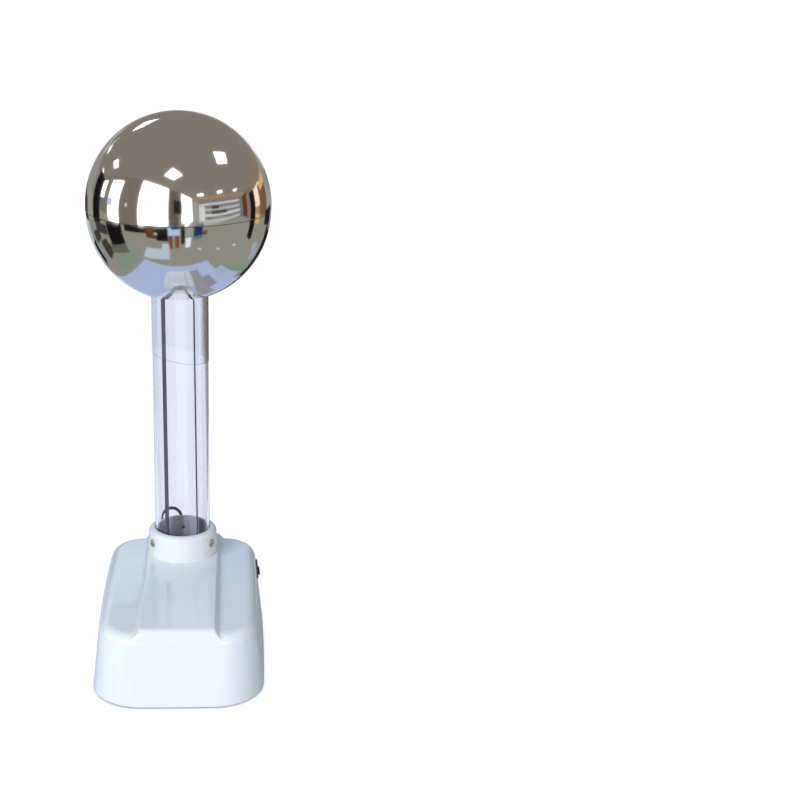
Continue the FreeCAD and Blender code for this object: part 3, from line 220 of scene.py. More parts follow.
def finish(name, look):
    # look: tone and toneTwo, the two colours that the surface drifts between; rough, its range;
    # grain, what its bump is made of, with its scale, depth in metres and stretch
    material, tree, shader, place = makeMaterial(name)
    centre = look.get("centre", (0, 0, 0))
    drift = patternFor(tree, place, "noise", look.get("driftScale", 18.0), centre=centre)
    tone = blended(tree, drift, look["tone"], look["toneTwo"])
    tree.links.new(tone, shader.inputs["Base Color"])
    wear = patternFor(tree, place, "noise", look.get("wearScale", 60.0), centre=centre)
    tree.links.new(spread(tree, wear, *look["rough"]), shader.inputs["Roughness"])
    shader.inputs["Metallic"].default_value = look.get("metal", 0.0)
    shader.inputs["Coat Weight"].default_value = look.get("coat", 0.0)
    shader.inputs["Coat Roughness"].default_value = look.get("coatRough", 0.05)
    shader.inputs["IOR"].default_value = look.get("bend", 1.5)
    grain = patternFor(tree, place, look.get("grain", "noise"), look["grainScale"],
                       look.get("stretch", (1, 1, 1)), centre, look.get("grainDetail", 3.0))
    bump = tree.nodes.new("ShaderNodeBump")
    bump.inputs["Strength"].default_value = look.get("grainStrength", 0.3)
    bump.inputs["Distance"].default_value = look["grainDepth"]
    tree.links.new(grain, bump.inputs["Height"])
    tree.links.new(bump.outputs["Normal"], shader.inputs["Normal"])
    return material


def clearFinish(name, look):
    # glass or film that lets lamps through: in shadow rays it is a plain tint
    material, tree, shader, place = makeMaterial(name)
    drift = patternFor(tree, place, "noise", look.get("driftScale", 9.0))
    tone = blended(tree, drift, look["tone"], look["toneTwo"])
    tree.links.new(tone, shader.inputs["Base Color"])
    wear = patternFor(tree, place, "noise", look.get("wearScale", 30.0), look.get("stretch", (1, 1, 1)))
    tree.links.new(spread(tree, wear, *look["rough"]), shader.inputs["Roughness"])
    shader.inputs["Transmission Weight"].default_value = 1.0
    shader.inputs["IOR"].default_value = look["bend"]
    bump = tree.nodes.new("ShaderNodeBump")
    bump.inputs["Strength"].default_value = 0.1
    bump.inputs["Distance"].default_value = look["grainDepth"]
    tree.links.new(wear, bump.inputs["Height"])
    tree.links.new(bump.outputs["Normal"], shader.inputs["Normal"])
    through = tree.nodes.new("ShaderNodeBsdfTransparent")
    through.inputs["Color"].default_value = (*look["shadowTint"], 1)
    surface = mixed(tree, raySeen(tree, "Is Shadow Ray"), shader, through)
    tree.links.new(surface, tree.nodes["Material Output"].inputs["Surface"])
    return material


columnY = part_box("column_tube")[0].y * 0.5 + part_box("column_tube")[1].y * 0.5

looks = {
    "white_gloss": {"tone": (0.80, 0.835, 0.86), "toneTwo": (0.835, 0.86, 0.88), "driftScale": 9.0,
                    "rough": (0.16, 0.24), "coat": 0.6, "coatRough": 0.04,
                    "grainScale": 38.0, "grainDepth": 0.0006, "grainStrength": 0.05},
    "plate_grey": {"tone": (0.15, 0.155, 0.165), "toneTwo": (0.17, 0.175, 0.185), "rough": (0.45, 0.6),
                   "grainScale": 900.0, "grainDepth": 0.00015},
    "panel_grey": {"tone": (0.26, 0.265, 0.28), "toneTwo": (0.29, 0.295, 0.31), "rough": (0.4, 0.55),
                   "grainScale": 1000.0, "grainDepth": 0.00012},
    "screw_steel": {"tone": (0.42, 0.42, 0.41), "toneTwo": (0.52, 0.52, 0.53), "metal": 1.0,
                    "rough": (0.24, 0.42), "grainScale": 700.0, "grainDepth": 0.0001},
    "foot_rubber": {"tone": (0.018, 0.018, 0.019), "toneTwo": (0.03, 0.03, 0.031), "rough": (0.7, 0.9),
                    "grainScale": 1500.0, "grainDepth": 0.0001},
    "motor_paint": {"tone": (0.022, 0.024, 0.027), "toneTwo": (0.03, 0.032, 0.036), "rough": (0.35, 0.5),
                    "coat": 0.2, "grainScale": 1100.0, "grainDepth": 0.00012},
    "shaft_steel": {"tone": (0.50, 0.50, 0.51), "toneTwo": (0.58, 0.58, 0.59), "metal": 1.0,
                    "rough": (0.12, 0.26), "stretch": (1, 30, 1), "grainScale": 60.0, "grainDepth": 0.00005},
    "cradle_plastic": {"tone": (0.02, 0.02, 0.022), "toneTwo": (0.03, 0.03, 0.032), "rough": (0.5, 0.66),
                       "grain": "cells", "grainScale": 900.0, "grainDepth": 0.0001},
    "strap_steel": {"tone": (0.44, 0.45, 0.46), "toneTwo": (0.52, 0.52, 0.53), "metal": 1.0,
                    "rough": (0.25, 0.4), "stretch": (1, 14, 1), "grainScale": 90.0, "grainDepth": 0.00008},
    "coupling_aluminium": {"tone": (0.60, 0.61, 0.62), "toneTwo": (0.68, 0.69, 0.70), "metal": 1.0,
                           "rough": (0.2, 0.34), "stretch": (1, 26, 1), "grainScale": 70.0,
                           "grainDepth": 0.00008},
    "lower_roller_plastic": {"tone": (0.72, 0.72, 0.69), "toneTwo": (0.78, 0.78, 0.76),
                             "rough": (0.35, 0.5), "stretch": (1, 30, 1), "grainScale": 40.0,
                             "grainDepth": 0.00008},
    "bearing_steel": {"tone": (0.48, 0.48, 0.49), "toneTwo": (0.56, 0.56, 0.57), "metal": 1.0,
                      "rough": (0.14, 0.3), "grainScale": 500.0, "grainDepth": 0.00006},
    "stand_aluminium": {"tone": (0.58, 0.59, 0.60), "toneTwo": (0.66, 0.67, 0.68), "metal": 1.0,
                        "rough": (0.26, 0.4), "stretch": (1, 1, 12), "grainScale": 120.0,
                        "grainDepth": 0.00008},
    "comb_brass": {"tone": (0.55, 0.39, 0.14), "toneTwo": (0.62, 0.45, 0.18), "metal": 1.0,
                   "rough": (0.24, 0.4), "grainScale": 320.0, "grainDepth": 0.00006},
    "belt_rubber": {"tone": (0.040, 0.036, 0.040), "toneTwo": (0.062, 0.056, 0.062),
                    "rough": (0.55, 0.75), "grain": "cells", "stretch": (1, 1, 0.25),
                    "grainScale": 1400.0, "grainDepth": 0.00012},
    "collar_metal": {"tone": (0.80, 0.82, 0.825), "toneTwo": (0.85, 0.865, 0.87), "rough": (0.2, 0.3),
                     "coat": 0.4, "coatRough": 0.08, "stretch": (1, 1, 16), "grainScale": 45.0,
                     "grainDepth": 0.00006},
    "brass_screw": {"tone": (0.58, 0.48, 0.22), "toneTwo": (0.80, 0.72, 0.44), "metal": 1.0,
                    "rough": (0.16, 0.3), "grainScale": 500.0, "grainDepth": 0.00008},
    "lead_insulation": {"tone": (0.006, 0.008, 0.03), "toneTwo": (0.010, 0.014, 0.05),
                        "rough": (0.35, 0.5), "grainScale": 800.0, "grainDepth": 0.00005},
    "tinned_tag": {"tone": (0.48, 0.48, 0.46), "toneTwo": (0.58, 0.58, 0.56), "metal": 1.0,
                   "rough": (0.2, 0.4), "grainScale": 600.0, "grainDepth": 0.00008},
    "ball_chrome": {"tone": (0.86, 0.86, 0.855), "toneTwo": (0.89, 0.89, 0.885), "metal": 1.0,
                    "rough": (0.07, 0.10), "driftScale": 6.0, "wearScale": 9.0,
                    "grainScale": 7.0, "grainDepth": 0.0004, "grainStrength": 0.012},
    "bracket_plastic": {"tone": (0.035, 0.035, 0.037), "toneTwo": (0.05, 0.05, 0.052),
                        "rough": (0.4, 0.55), "grainScale": 700.0, "grainDepth": 0.0001},
    "upper_roller_plastic": {"tone": (0.27, 0.27, 0.29), "toneTwo": (0.33, 0.33, 0.35),
                             "rough": (0.35, 0.5), "stretch": (1, 30, 1), "grainScale": 40.0,
                             "grainDepth": 0.00008},
    "leaf_bronze": {"tone": (0.52, 0.30, 0.12), "toneTwo": (0.60, 0.37, 0.16), "metal": 1.0,
                    "rough": (0.2, 0.34), "grainScale": 400.0, "grainDepth": 0.00005},
    "switch_black": {"tone": (0.055, 0.055, 0.06), "toneTwo": (0.08, 0.08, 0.086),
                     "rough": (0.42, 0.56), "grain": "cells", "grainScale": 1500.0, "grainDepth": 0.00008},
    "rocker_black": {"tone": (0.010, 0.010, 0.012), "toneTwo": (0.016, 0.016, 0.018),
                     "rough": (0.2, 0.34), "coat": 0.3, "grainScale": 900.0, "grainDepth": 0.00004},
    "inlet_black": {"tone": (0.013, 0.013, 0.015), "toneTwo": (0.021, 0.021, 0.023),
                    "rough": (0.38, 0.54), "grain": "cells", "grainScale": 1300.0, "grainDepth": 0.00008},
    "socket_black": {"tone": (0.010, 0.010, 0.011), "toneTwo": (0.016, 0.016, 0.017),
                     "rough": (0.18, 0.3), "coat": 0.3, "grainScale": 900.0, "grainDepth": 0.00004},
    "pin_brass": {"tone": (0.58, 0.44, 0.20), "toneTwo": (0.64, 0.50, 0.25), "metal": 1.0,
                  "rough": (0.16, 0.28), "grainScale": 500.0, "grainDepth": 0.00005},
    "nut_plastic": {"tone": (0.03, 0.03, 0.03), "toneTwo": (0.042, 0.042, 0.042), "rough": (0.45, 0.6),
                    "grainScale": 900.0, "grainDepth": 0.0001},
}
clearLooks = {
    "clear_column": {"tone": (0.90, 0.93, 1.0), "toneTwo": (0.915, 0.94, 1.0), "rough": (0.0, 0.012),
                     "bend": 1.49, "grainDepth": 0.0002, "stretch": (1, 1, 0.1),
                     "shadowTint": (0.96, 0.97, 1.0)},
    "tinted_film": {"tone": (0.955, 0.962, 0.985), "toneTwo": (0.97, 0.975, 0.99), "rough": (0.0, 0.02),
                    "bend": 1.3, "grainDepth": 0.0001, "shadowTint": (0.95, 0.95, 0.96)},
}
slotOf = {item["node"]: item["material_slot"] for item in frame["record"]["subparts"]}
materials = {}
for slotName in set(slotOf.values()):
    if slotName in clearLooks:
        materials[slotName] = clearFinish(slotName, clearLooks[slotName])
    else:
        materials[slotName] = finish(slotName, looks[slotName])
for name, item in nodes.items():
    item.data.materials.clear()
    item.data.materials.append(materials[slotOf[name]])
print("finishes made:", len(materials))


film = {"node": "film_sleeve", "slant": 0.174, "line": 0.0009, "lineTone": (0.66, 0.69, 0.80),
        "frontFade": 0.002,
        "foldStart": 0.0242, "foldEnd": 0.0256, "foldTone": (0.79, 0.725, 0.68)}


def markFilm():
    # a thin line along the film's slanted low edge, and a browner strip where its end is folded
    low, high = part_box(film["node"])
    tree = materials[slotOf[film["node"]]].node_tree
    shader = tree.nodes["Principled BSDF"]
    place = tree.nodes["Texture Coordinate"]
    parts = tree.nodes.new("ShaderNodeSeparateXYZ")
    tree.links.new(place.outputs["Object"], parts.inputs[0])
    edge = low.z + (high.x - low.x) / 2 * film["slant"]
    height = tree.nodes.new("ShaderNodeMath")
    height.operation = "MULTIPLY_ADD"
    height.inputs[1].default_value = film["slant"]
    tree.links.new(parts.outputs["X"], height.inputs[0])
    tree.links.new(parts.outputs["Z"], height.inputs[2])
    nearFront = measured(tree, parts.outputs["Y"], columnY, columnY - film["frontFade"])
    nearEdge = measured(tree, height.outputs[0], edge + film["line"], edge + film["line"] / 2)
    line = tree.nodes.new("ShaderNodeMath")
    line.operation = "MULTIPLY"
    tree.links.new(nearFront, line.inputs[0])
    tree.links.new(nearEdge, line.inputs[1])
    fold = measured(tree, parts.outputs["X"], film["foldStart"], film["foldEnd"])
    tone = shader.inputs["Base Color"].links[0].from_socket
    for share, colour in ((fold, film["foldTone"]), (line.outputs[0], film["lineTone"])):
        mix = tree.nodes.new("ShaderNodeMixRGB")
        mix.inputs["Color2"].default_value = (*colour, 1)
        tree.links.new(share, mix.inputs["Fac"])
        tree.links.new(tone, mix.inputs["Color1"])
        tone = mix.outputs[0]
    tree.links.new(tone, shader.inputs["Base Color"])


markFilm()


def standsFor(piece, body, node):
    piece.data.materials.clear()
    piece.data.materials.append(materials[slotOf[node]])
    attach(piece, body)
    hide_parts(node)


# the sphere: a dome that lifts off a bowl

sphere = {"domeRadius": 0.100, "bowlRadius": 0.0996, "wall": 0.0015, "gap": 0.0003,
          "segments": 224, "rings": 112, "neckRoll": 0.005, "neckX": 0.0373,
          "lipTop": 0.4169, "band": 0.0042, "edge": 0.00035, "hair": 0.00001, "lowPart": 0.02,
          "rollSteps": 12, "smoothAngle": 14, "edgeAngle": 50}
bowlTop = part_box("upper_dome")[0].z - sphere["gap"]
domeCentreZ = bowlTop + sphere["band"]


def roundBall(name, radius, height):
    nothingSelected()
    bpy.ops.mesh.primitive_uv_sphere_add(segments=sphere["segments"], ring_count=sphere["rings"],
                                         radius=radius, location=(0, columnY, height))
    return newPiece(name)


def makeDome():
    dome = roundBall("domeShell", sphere["domeRadius"], domeCentreZ)
    mesh = editing(dome)
    pick(mesh, "faces", lambda face: True)
    bpy.ops.mesh.bisect(plane_co=(0, columnY, domeCentreZ - sphere["hair"]), plane_no=(0, 0, 1),
                        clear_inner=True)
    mesh = bmesh.from_edit_mesh(dome.data)
    rimMove(mesh, lambda edge: True, (0, columnY), sphere["domeRadius"], bowlTop + sphere["gap"])
    doneEditing()
    applied(dome, "SOLIDIFY", thickness=sphere["wall"], offset=-1)
    applied(dome, "BEVEL", width=sphere["edge"], segments=3, limit_method="ANGLE",
            angle_limit=math.radians(sphere["edgeAngle"]))
    smooth(dome, sphere["smoothAngle"])
    standsFor(dome, "dome", "upper_dome")


def atNeck(edge):
    return edge.verts[0].co.z < bowlTop - sphere["lowPart"]


def makeBowl():
    bowl = roundBall("bowlShell", sphere["bowlRadius"], bowlTop)
    roll = sphere["neckRoll"]
    reach = sphere["bowlRadius"] - roll
    drop = math.sqrt(reach ** 2 - sphere["neckX"] ** 2)
    tangentZ = bowlTop - drop * sphere["bowlRadius"] / reach
    mesh = editing(bowl)
    pick(mesh, "faces", lambda face: True)
    bpy.ops.mesh.bisect(plane_co=(0, columnY, bowlTop - sphere["gap"]), plane_no=(0, 0, 1), clear_outer=True)
    mesh = bmesh.from_edit_mesh(bowl.data)
    pick(mesh, "faces", lambda face: True)
    bpy.ops.mesh.bisect(plane_co=(0, columnY, tangentZ), plane_no=(0, 0, 1), clear_inner=True)
    mesh = bmesh.from_edit_mesh(bowl.data)
    startAngle = math.atan2(-drop, sphere["neckX"])
    for step in range(1, sphere["rollSteps"] + 1):
        angle = startAngle - (math.pi + startAngle) * step / sphere["rollSteps"]
        rimMove(mesh, atNeck, (0, columnY), sphere["neckX"] + roll * math.cos(angle),
                bowlTop - drop + roll * math.sin(angle))
    rimMove(mesh, atNeck, (0, columnY), sphere["neckX"] - roll, sphere["lipTop"])
    doneEditing()
    applied(bowl, "SOLIDIFY", thickness=sphere["wall"], offset=-1)
    smooth(bowl, sphere["smoothAngle"])
    standsFor(bowl, "base", "lower_hemisphere")


makeDome()
makeBowl()
print("sphere made")


# the base's moulding, with the hump's two front corners worn soft

housing = {"node": "base_housing", "step": 0.0022, "box": ((0.032, 0.055), (-0.16, -0.126), (0.066, 0.09)),
           "creases": (((0.0475, -0.143, 0.071), (0.0435, -0.142, 0.077), (0.04, -0.1385, 0.082),
                        (0.039, -0.136, 0.0835)),
                       ((0.046, -0.1415, 0.073), (0.0445, -0.138, 0.076), (0.0435, -0.133, 0.078))),
           "cutFront": -0.146, "cutHigh": 0.086, "merge": 0.000001, "rearward": 0.25, "downward": -0.2,
           "reach": 0.0055, "passes": 14, "smoothAngle": 40, "weight": 50}


def atCorner(face):
    # outer faces that reach into one of the two boxes round the corners
    if face.normal.y > housing["rearward"] or face.normal.z < housing["downward"]:
        return False
    (near, far), (front, back), (low, high) = housing["box"]
    spots = [vert.co for vert in face.verts]
    if min(spot.y for spot in spots) > back or max(spot.z for spot in spots) < low:
        return False
    sides = [spot.x for spot in spots]
    return (max(sides) > near and min(sides) < far) or (min(sides) < -near and max(sides) > -far)


def stepped(start, end, step):
    count = round((end - start) / step)
    return [start + (end - start) * index / count for index in range(count + 1)]


def pointsAlong(path):
    # the path's corners and two points between each pair
    points = []
    for start, end in zip(path, path[1:]):
        points += [Vector(start).lerp(Vector(end), share / 3) for share in range(4)]
    return points


def makeHousing():
    shell = bpy.data.objects.new("housingShell", nodes[housing["node"]].data.copy())
    shell.data.name = "housingShell"
    bpy.context.scene.collection.objects.link(shell)
    editing(shell)
    bpy.ops.mesh.customdata_custom_splitnormals_clear()
    mesh = bmesh.from_edit_mesh(shell.data)
    pick(mesh, "verts", lambda vert: True)
    bpy.ops.mesh.remove_doubles(threshold=housing["merge"])
    (near, far), (front, back), (low, high) = housing["box"]
    step = housing["step"]
    cuts = [((x * side, 0, 0), (1, 0, 0)) for side in (-1, 1) for x in stepped(near, far, step)]
    cuts += [((0, y, 0), (0, 1, 0)) for y in stepped(housing["cutFront"], back, step)]
    cuts += [((0, 0, z), (0, 0, 1)) for z in stepped(low, housing["cutHigh"], step)]
    for place, normal in cuts:
        mesh = bmesh.from_edit_mesh(shell.data)
        pick(mesh, "faces", atCorner)
        bpy.ops.mesh.bisect(plane_co=place, plane_no=normal)
    mesh = bmesh.from_edit_mesh(shell.data)
    spots = [Vector((x * side, y, z)) for side in (-1, 1) for path in housing["creases"]
             for x, y, z in pointsAlong(path)]
    outer = {vert for face in mesh.faces if atCorner(face) for vert in face.verts}
    pick(mesh, "verts", lambda vert: vert in outer and
         min((vert.co - spot).length for spot in spots) < housing["reach"])
    bpy.ops.mesh.vertices_smooth(factor=0.5, repeat=housing["passes"])
    doneEditing()
    smooth(shell, housing["smoothAngle"])
    applied(shell, "WEIGHTED_NORMAL", mode="FACE_AREA", weight=housing["weight"], keep_sharp=True)
    standsFor(shell, "base", housing["node"])


makeHousing()
print("base moulding made")


# the column and its film

column = {"radius": 0.031, "wall": 0.0025, "segments": 160, "edge": 0.0003,
          "edgeAngle": 50, "smoothAngle": 20}


def makeColumn():
    low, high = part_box("column_tube")
    nothingSelected()
    bpy.ops.mesh.primitive_cylinder_add(vertices=column["segments"], radius=column["radius"],
                                        depth=high.z - low.z, end_fill_type="NOTHING",
                                        location=(0, columnY, (low.z + high.z) / 2))
    tube = newPiece("columnGlass")
    applied(tube, "SOLIDIFY", thickness=column["wall"], offset=-1)
    applied(tube, "BEVEL", width=column["edge"], segments=2, limit_method="ANGLE",
            angle_limit=math.radians(column["edgeAngle"]))
    smooth(tube, column["smoothAngle"])
    standsFor(tube, "base", "column_tube")


makeColumn()
print("column made")


# light, room and camera

def glowing(name, colour, strength=1.0):
    material = bpy.data.materials.new(name)
    material.use_nodes = True
    tree = material.node_tree
    tree.nodes.remove(tree.nodes["Principled BSDF"])
    glow = tree.nodes.new("ShaderNodeEmission")
    glow.inputs["Color"].default_value = (*colour, 1)
    glow.inputs["Strength"].default_value = strength
    tree.links.new(glow.outputs[0], tree.nodes["Material Output"].inputs["Surface"])
    material.cycles.emission_sampling = "NONE"
    return material


def onlyReflected(item):
    item.visible_camera = False
    item.visible_diffuse = False
    item.visible_transmission = False
    item.visible_shadow = False
    item.visible_volume_scatter = False


def shown(red, green, blue):
    # a colour as it looks on screen, as the linear values that nodes take
    return tuple((c / 255 / 12.92) if c < 10 else ((c / 255 + 0.055) / 1.055) ** 2.4
                 for c in (red, green, blue))


def panel(name, centre, across, up, colour, strength=1.0):
    # a flat panel of the room: across and up are the halves of its sides, as vectors
    nothingSelected()
    bpy.ops.mesh.primitive_plane_add(size=2, location=(0, 0, 0))
    item = newPiece(name)
    for corner in item.data.vertices:
        place = Vector(centre) + Vector(across) * corner.co.x + Vector(up) * corner.co.y
        corner.co = place
    item.data.materials.append(glowing(name, shown(*colour), strength))
    onlyReflected(item)
    return item


room = {
    "ceiling": (132, 125, 115), "ceilingHeight": 2.0, "floor": (148, 146, 134), "floorHeight": -0.75,
    "wall": (122, 112, 102), "wallEnd": -0.05, "wallTurn": 225, "wallDistance": 2.2, "wallHalf": 8,
    "half": 9, "lampStrength": 2.4, "paintStrength": 1.13, "layer": 0.004,
}

# the outer walls: place, half of the width as a level vector, and colour
walls = {
    "rightWall": ((7.5, 0), (0, 9), (130, 114, 96)),
    "backWall": ((0, 6.0), (9, 0), (150, 148, 146)),
    "leftWall": ((-6.5, 2.0), (0, 6), (140, 132, 122)),
    "frontWall": ((3.0, -6.0), (5, 0), (124, 116, 104)),
}

# bright parts of the ceiling behind: place along x, half width, colour and strength
brightCeiling = {"distance": 4.6, "depth": 1.5, "drop": 0.01, "parts": {
    "farCeiling": (0.85, 1.15, (158, 187, 234), 1.0),
    "farCeilingLeft": (-1.15, 0.85, (205, 232, 255), 1.4),
}}

# keeps the bright ceiling out of the sphere's top edge
farBoard = {"place": (0, 0.95, 0.9), "half": 0.6, "high": 0.16}

# boards beside the column that only its glass shows: place along x and colour
tubeBoards = {"y": 1.5, "z": 0.002, "half": (1.35, 2.2), "parts": {
    "tubeRight": (1.6, (146, 148, 154)), "tubeLeft": (-1.75, (222, 236, 255)),
}}

paints = {
    "white": (255, 255, 255), "black": (18, 16, 20), "ink": (26, 28, 42), "charcoal": (62, 56, 58),
    "umber": (90, 56, 40), "smoke": (92, 84, 78), "stone": (120, 114, 108),
    "olive": (96, 98, 88), "taupe": (148, 126, 98), "grey": (150, 148, 142), "walnut": (116, 74, 50),
    "ochre": (116, 86, 64), "orange": (170, 130, 92), "gold": (218, 170, 98), "cream": (246, 226, 194),
    "chalk": (246, 238, 228), "pearl": (206, 208, 208), "silver": (182, 186, 186), "steel": (150, 162, 180),
    "haze": (176, 192, 204), "sky": (176, 192, 230), "lilac": (204, 212, 248), "sage": (126, 142, 124),
    "navy": (34, 46, 84), "teal": (84, 112, 128), "rust": (114, 62, 44), "clay": (132, 118, 100),
    "mist": (226, 230, 240),
}

# square lamps in the ceiling, with their places in metres
lamps = {"size": 0.54, "turn": 45,
         "places": ((-0.15, -1.4), (1.37, 0.07), (-2.55, 0.8), (-4.7, 3.0), (-2.8, 3.6), (-0.85, 2.0),
                    (2.0, -3.4), (3.45, -2.25), (5.0, -0.9))}

# flat boards, in groups that stand upright at one distance from the column and face it: each has its
# paint, its left and right ends and its low and high edges, and a later one stands before an earlier
boards = {
    "windowSide": {"turn": 225, "distance": 2.19, "parts": {
        "windowOne": ("white", -4.35, -3.3, 0.7, 1.68),
        "windowTwo": ("white", -2.4, -1.25, -0.1, 1.7),
        "windowThree": ("white", -0.1, 1.5, -0.05, 1.95),
        "doorway": ("smoke", 1.5, 2.3, -0.15, 1.95),
        "windowFour": ("white", 2.65, 4.3, -0.3, 1.98),
        "doorShade": ("black", 1.9, 2.7, 0.5, 1.35),
        "haze": ("sky", -2.5, -1.85, 0.45, 0.8),
        "lightSpot": ("pearl", -0.8, -0.67, 0.6, 0.75),
        "cupboard": ("black", -0.9, 0.55, -0.25, 0.0),
    }},
    "shelfSide": {"turn": 305, "distance": 4.0, "parts": {
        "pillar": ("grey", -1.1, -0.6, -0.35, 1.7),
        "beam": ("taupe", -1.1, 6.5, 1.45, 1.83),
        "shelfBack": ("stone", -0.65, 5.0, -0.35, 1.45),
        "shelfOne": ("pearl", -0.6, 4.2, 1.05, 1.2),
        "shelfTwo": ("silver", -0.6, 4.2, 0.6, 0.78),
        "shelfThree": ("pearl", -0.6, 4.2, 0.15, 0.35),
        "shelfFour": ("silver", -0.6, 4.2, -0.3, -0.1),
        "booksOne": ("charcoal", 0.5, 1.2, 0.7, 0.95),
        "booksTwo": ("charcoal", 0.5, 2.0, 0.3, 0.55),
        "booksThree": ("sage", 0.5, 1.8, -0.1, 0.15),
        "pillarLight": ("pearl", -0.6, -0.1, -0.15, 1.0),
    }},
    "warmSide": {"turn": 45, "distance": 2.0, "parts": {
        "corner": ("clay", -1.2, 0.85, 0.8, 1.1),
        "postBrown": ("umber", -2.3, -1.65, 0.0, 0.95),
        "postPale": ("clay", -1.8, -1.45, 0.05, 0.85),
        "bandCream": ("cream", -1.0, -0.35, 0.3, 0.8),
        "bandOrange": ("orange", -1.1, -0.7, 0.1, 0.3),
        "bandBrown": ("ochre", -0.6, 0.1, 0.1, 0.75),
        "bandGold": ("gold", -0.45, 0.2, 0.6, 0.75),
        "bandGrey": ("grey", 0.1, 1.0, 0.1, 0.45),
        "bandGreen": ("sage", 0.4, 1.3, 0.3, 0.55),
        "rimCream": ("chalk", 1.0, 1.65, 0.4, 0.65),
        "postDark": ("black", -1.45, -1.0, -0.6, 0.82),
        "postGold": ("gold", -0.95, -0.6, -0.05, 0.12),
        "postInk": ("ink", -0.05, 0.7, -0.05, 0.15),
        "edgeRight": ("ink", 0.4, 1.5, -0.35, -0.1),
    }},
    "farSide": {"turn": 140, "distance": 2.0, "parts": {
        "rimPale": ("mist", -1.3, -0.6, 0.9, 1.3),
        "rimLilac": ("haze", -1.5, -0.5, -0.5, 0.0),
        "edgeInk": ("ink", -0.75, -0.3, -0.7, -0.28),
        "edgeDark": ("charcoal", -1.4, -0.5, 0.0, 0.25),
        "strip": ("grey", -0.35, 0.17, 0.05, 0.45),
        "postLeft": ("black", 0.2, 0.8, 0.0, 1.05),
        "chairBack": ("charcoal", -0.1, 0.5, -0.4, -0.15),
    }},
    "screenSide": {"turn": 187, "distance": 1.3, "parts": {
        "screen": ("black", -0.3, 0.28, -0.28, 0.21),
        "screenEdge": ("charcoal", -1.0, -0.32, -0.05, 0.15),
    }},
    "nearSide": {"turn": 260, "distance": 1.3, "parts": {
        "cupboardBrown": ("umber", -0.7, -0.33, -0.15, 0.21),
        "chair": ("black", -0.37, -0.03, -0.2, 0.21),
        "chairLight": ("silver", -0.42, -0.33, -0.02, 0.05),
        "table": ("sky", -0.02, 0.3, -0.01, 0.24),
        "tableBand": ("ink", 0.07, 0.3, 0.17, 0.24),
        "legOne": ("walnut", -0.02, 0.09, -0.49, -0.01),
        "legTwo": ("walnut", 0.16, 0.28, -0.47, -0.01),
        "bar": ("black", 0.33, 0.44, -0.33, 0.26),
        "clothGrey": ("grey", 0.47, 0.66, -0.12, 0.21),
        "clothWhite": ("mist", 0.47, 0.64, -0.5, -0.12),
        "clothBlue": ("navy", 0.72, 1.08, -0.12, 0.2),
        "clothTeal": ("teal", 0.72, 1.08, -0.25, -0.12),
        "clothRed": ("rust", 1.08, 1.33, -0.16, 0.0),
    }},
}

# flat things on the floor: paint, place, half length and half width, and turn in degrees
rugs = {
    "greenLeft": ("sage", -1.25, 0.1, 0.3, 0.6, 0),
    "greenRight": ("sage", 1.0, 1.0, 0.3, 0.8, -20),
    "steelRight": ("steel", 1.65, 1.5, 0.4, 0.3, -10),
    "greyLeft": ("charcoal", -2.0, 0.9, 0.5, 0.35, -30),
    "darkLeft": ("olive", -1.85, 0.0, 0.3, 0.5, 15),
    "lilacFar": ("lilac", -0.55, 2.4, 0.25, 1.3, 8),
    "inkFar": ("ink", 1.25, 2.9, 1.4, 0.45, 50),
    "paperOne": ("haze", -0.78, -1.02, 0.28, 0.3, -20),
    "paperTwo": ("haze", -0.43, -1.35, 0.15, 0.5, -8),
    "spotOne": ("pearl", 0.77, -1.28, 0.07, 0.05, 30),
    "spotTwo": ("pearl", 1.33, -0.8, 0.07, 0.05, 50),
    "spotThree": ("pearl", 1.88, -0.24, 0.08, 0.06, 80),
}


def turned(angle):
    # level unit vectors that point along a turn in degrees and to its left
    angle = math.radians(angle)
    return Vector((math.cos(angle), math.sin(angle), 0)), Vector((-math.sin(angle), math.cos(angle), 0))


def painted(name, paint, centre, across, up):
    strength = room["lampStrength"] if paint == "white" else room["paintStrength"]
    panel(name, centre, across, up, paints[paint], strength)


def makeSights():
    ceiling = room["ceilingHeight"] - room["layer"]
    along, side = turned(lamps["turn"])
    half = lamps["size"] / 2
    for index, (x, y) in enumerate(lamps["places"]):
        painted("lamp" + str(index), "white", (x, y, ceiling), along * half, side * half)
    for group in boards.values():
        out, side = turned(group["turn"])
        for index, (name, (paint, left, right, low, high)) in enumerate(group["parts"].items()):
            place = out * (group["distance"] - room["layer"] * index) + side * (left + right) / 2
            middle = place + Vector((0, columnY, (low + high) / 2))
            painted(name, paint, middle, side * (right - left) / 2, (0, 0, (high - low) / 2))
    for index, (name, (paint, x, y, length, width, turn)) in enumerate(rugs.items()):
        along, side = turned(turn)
        height = room["floorHeight"] + room["layer"] * (index + 1)
        painted(name, paint, (x, y, height), along * length, side * width)


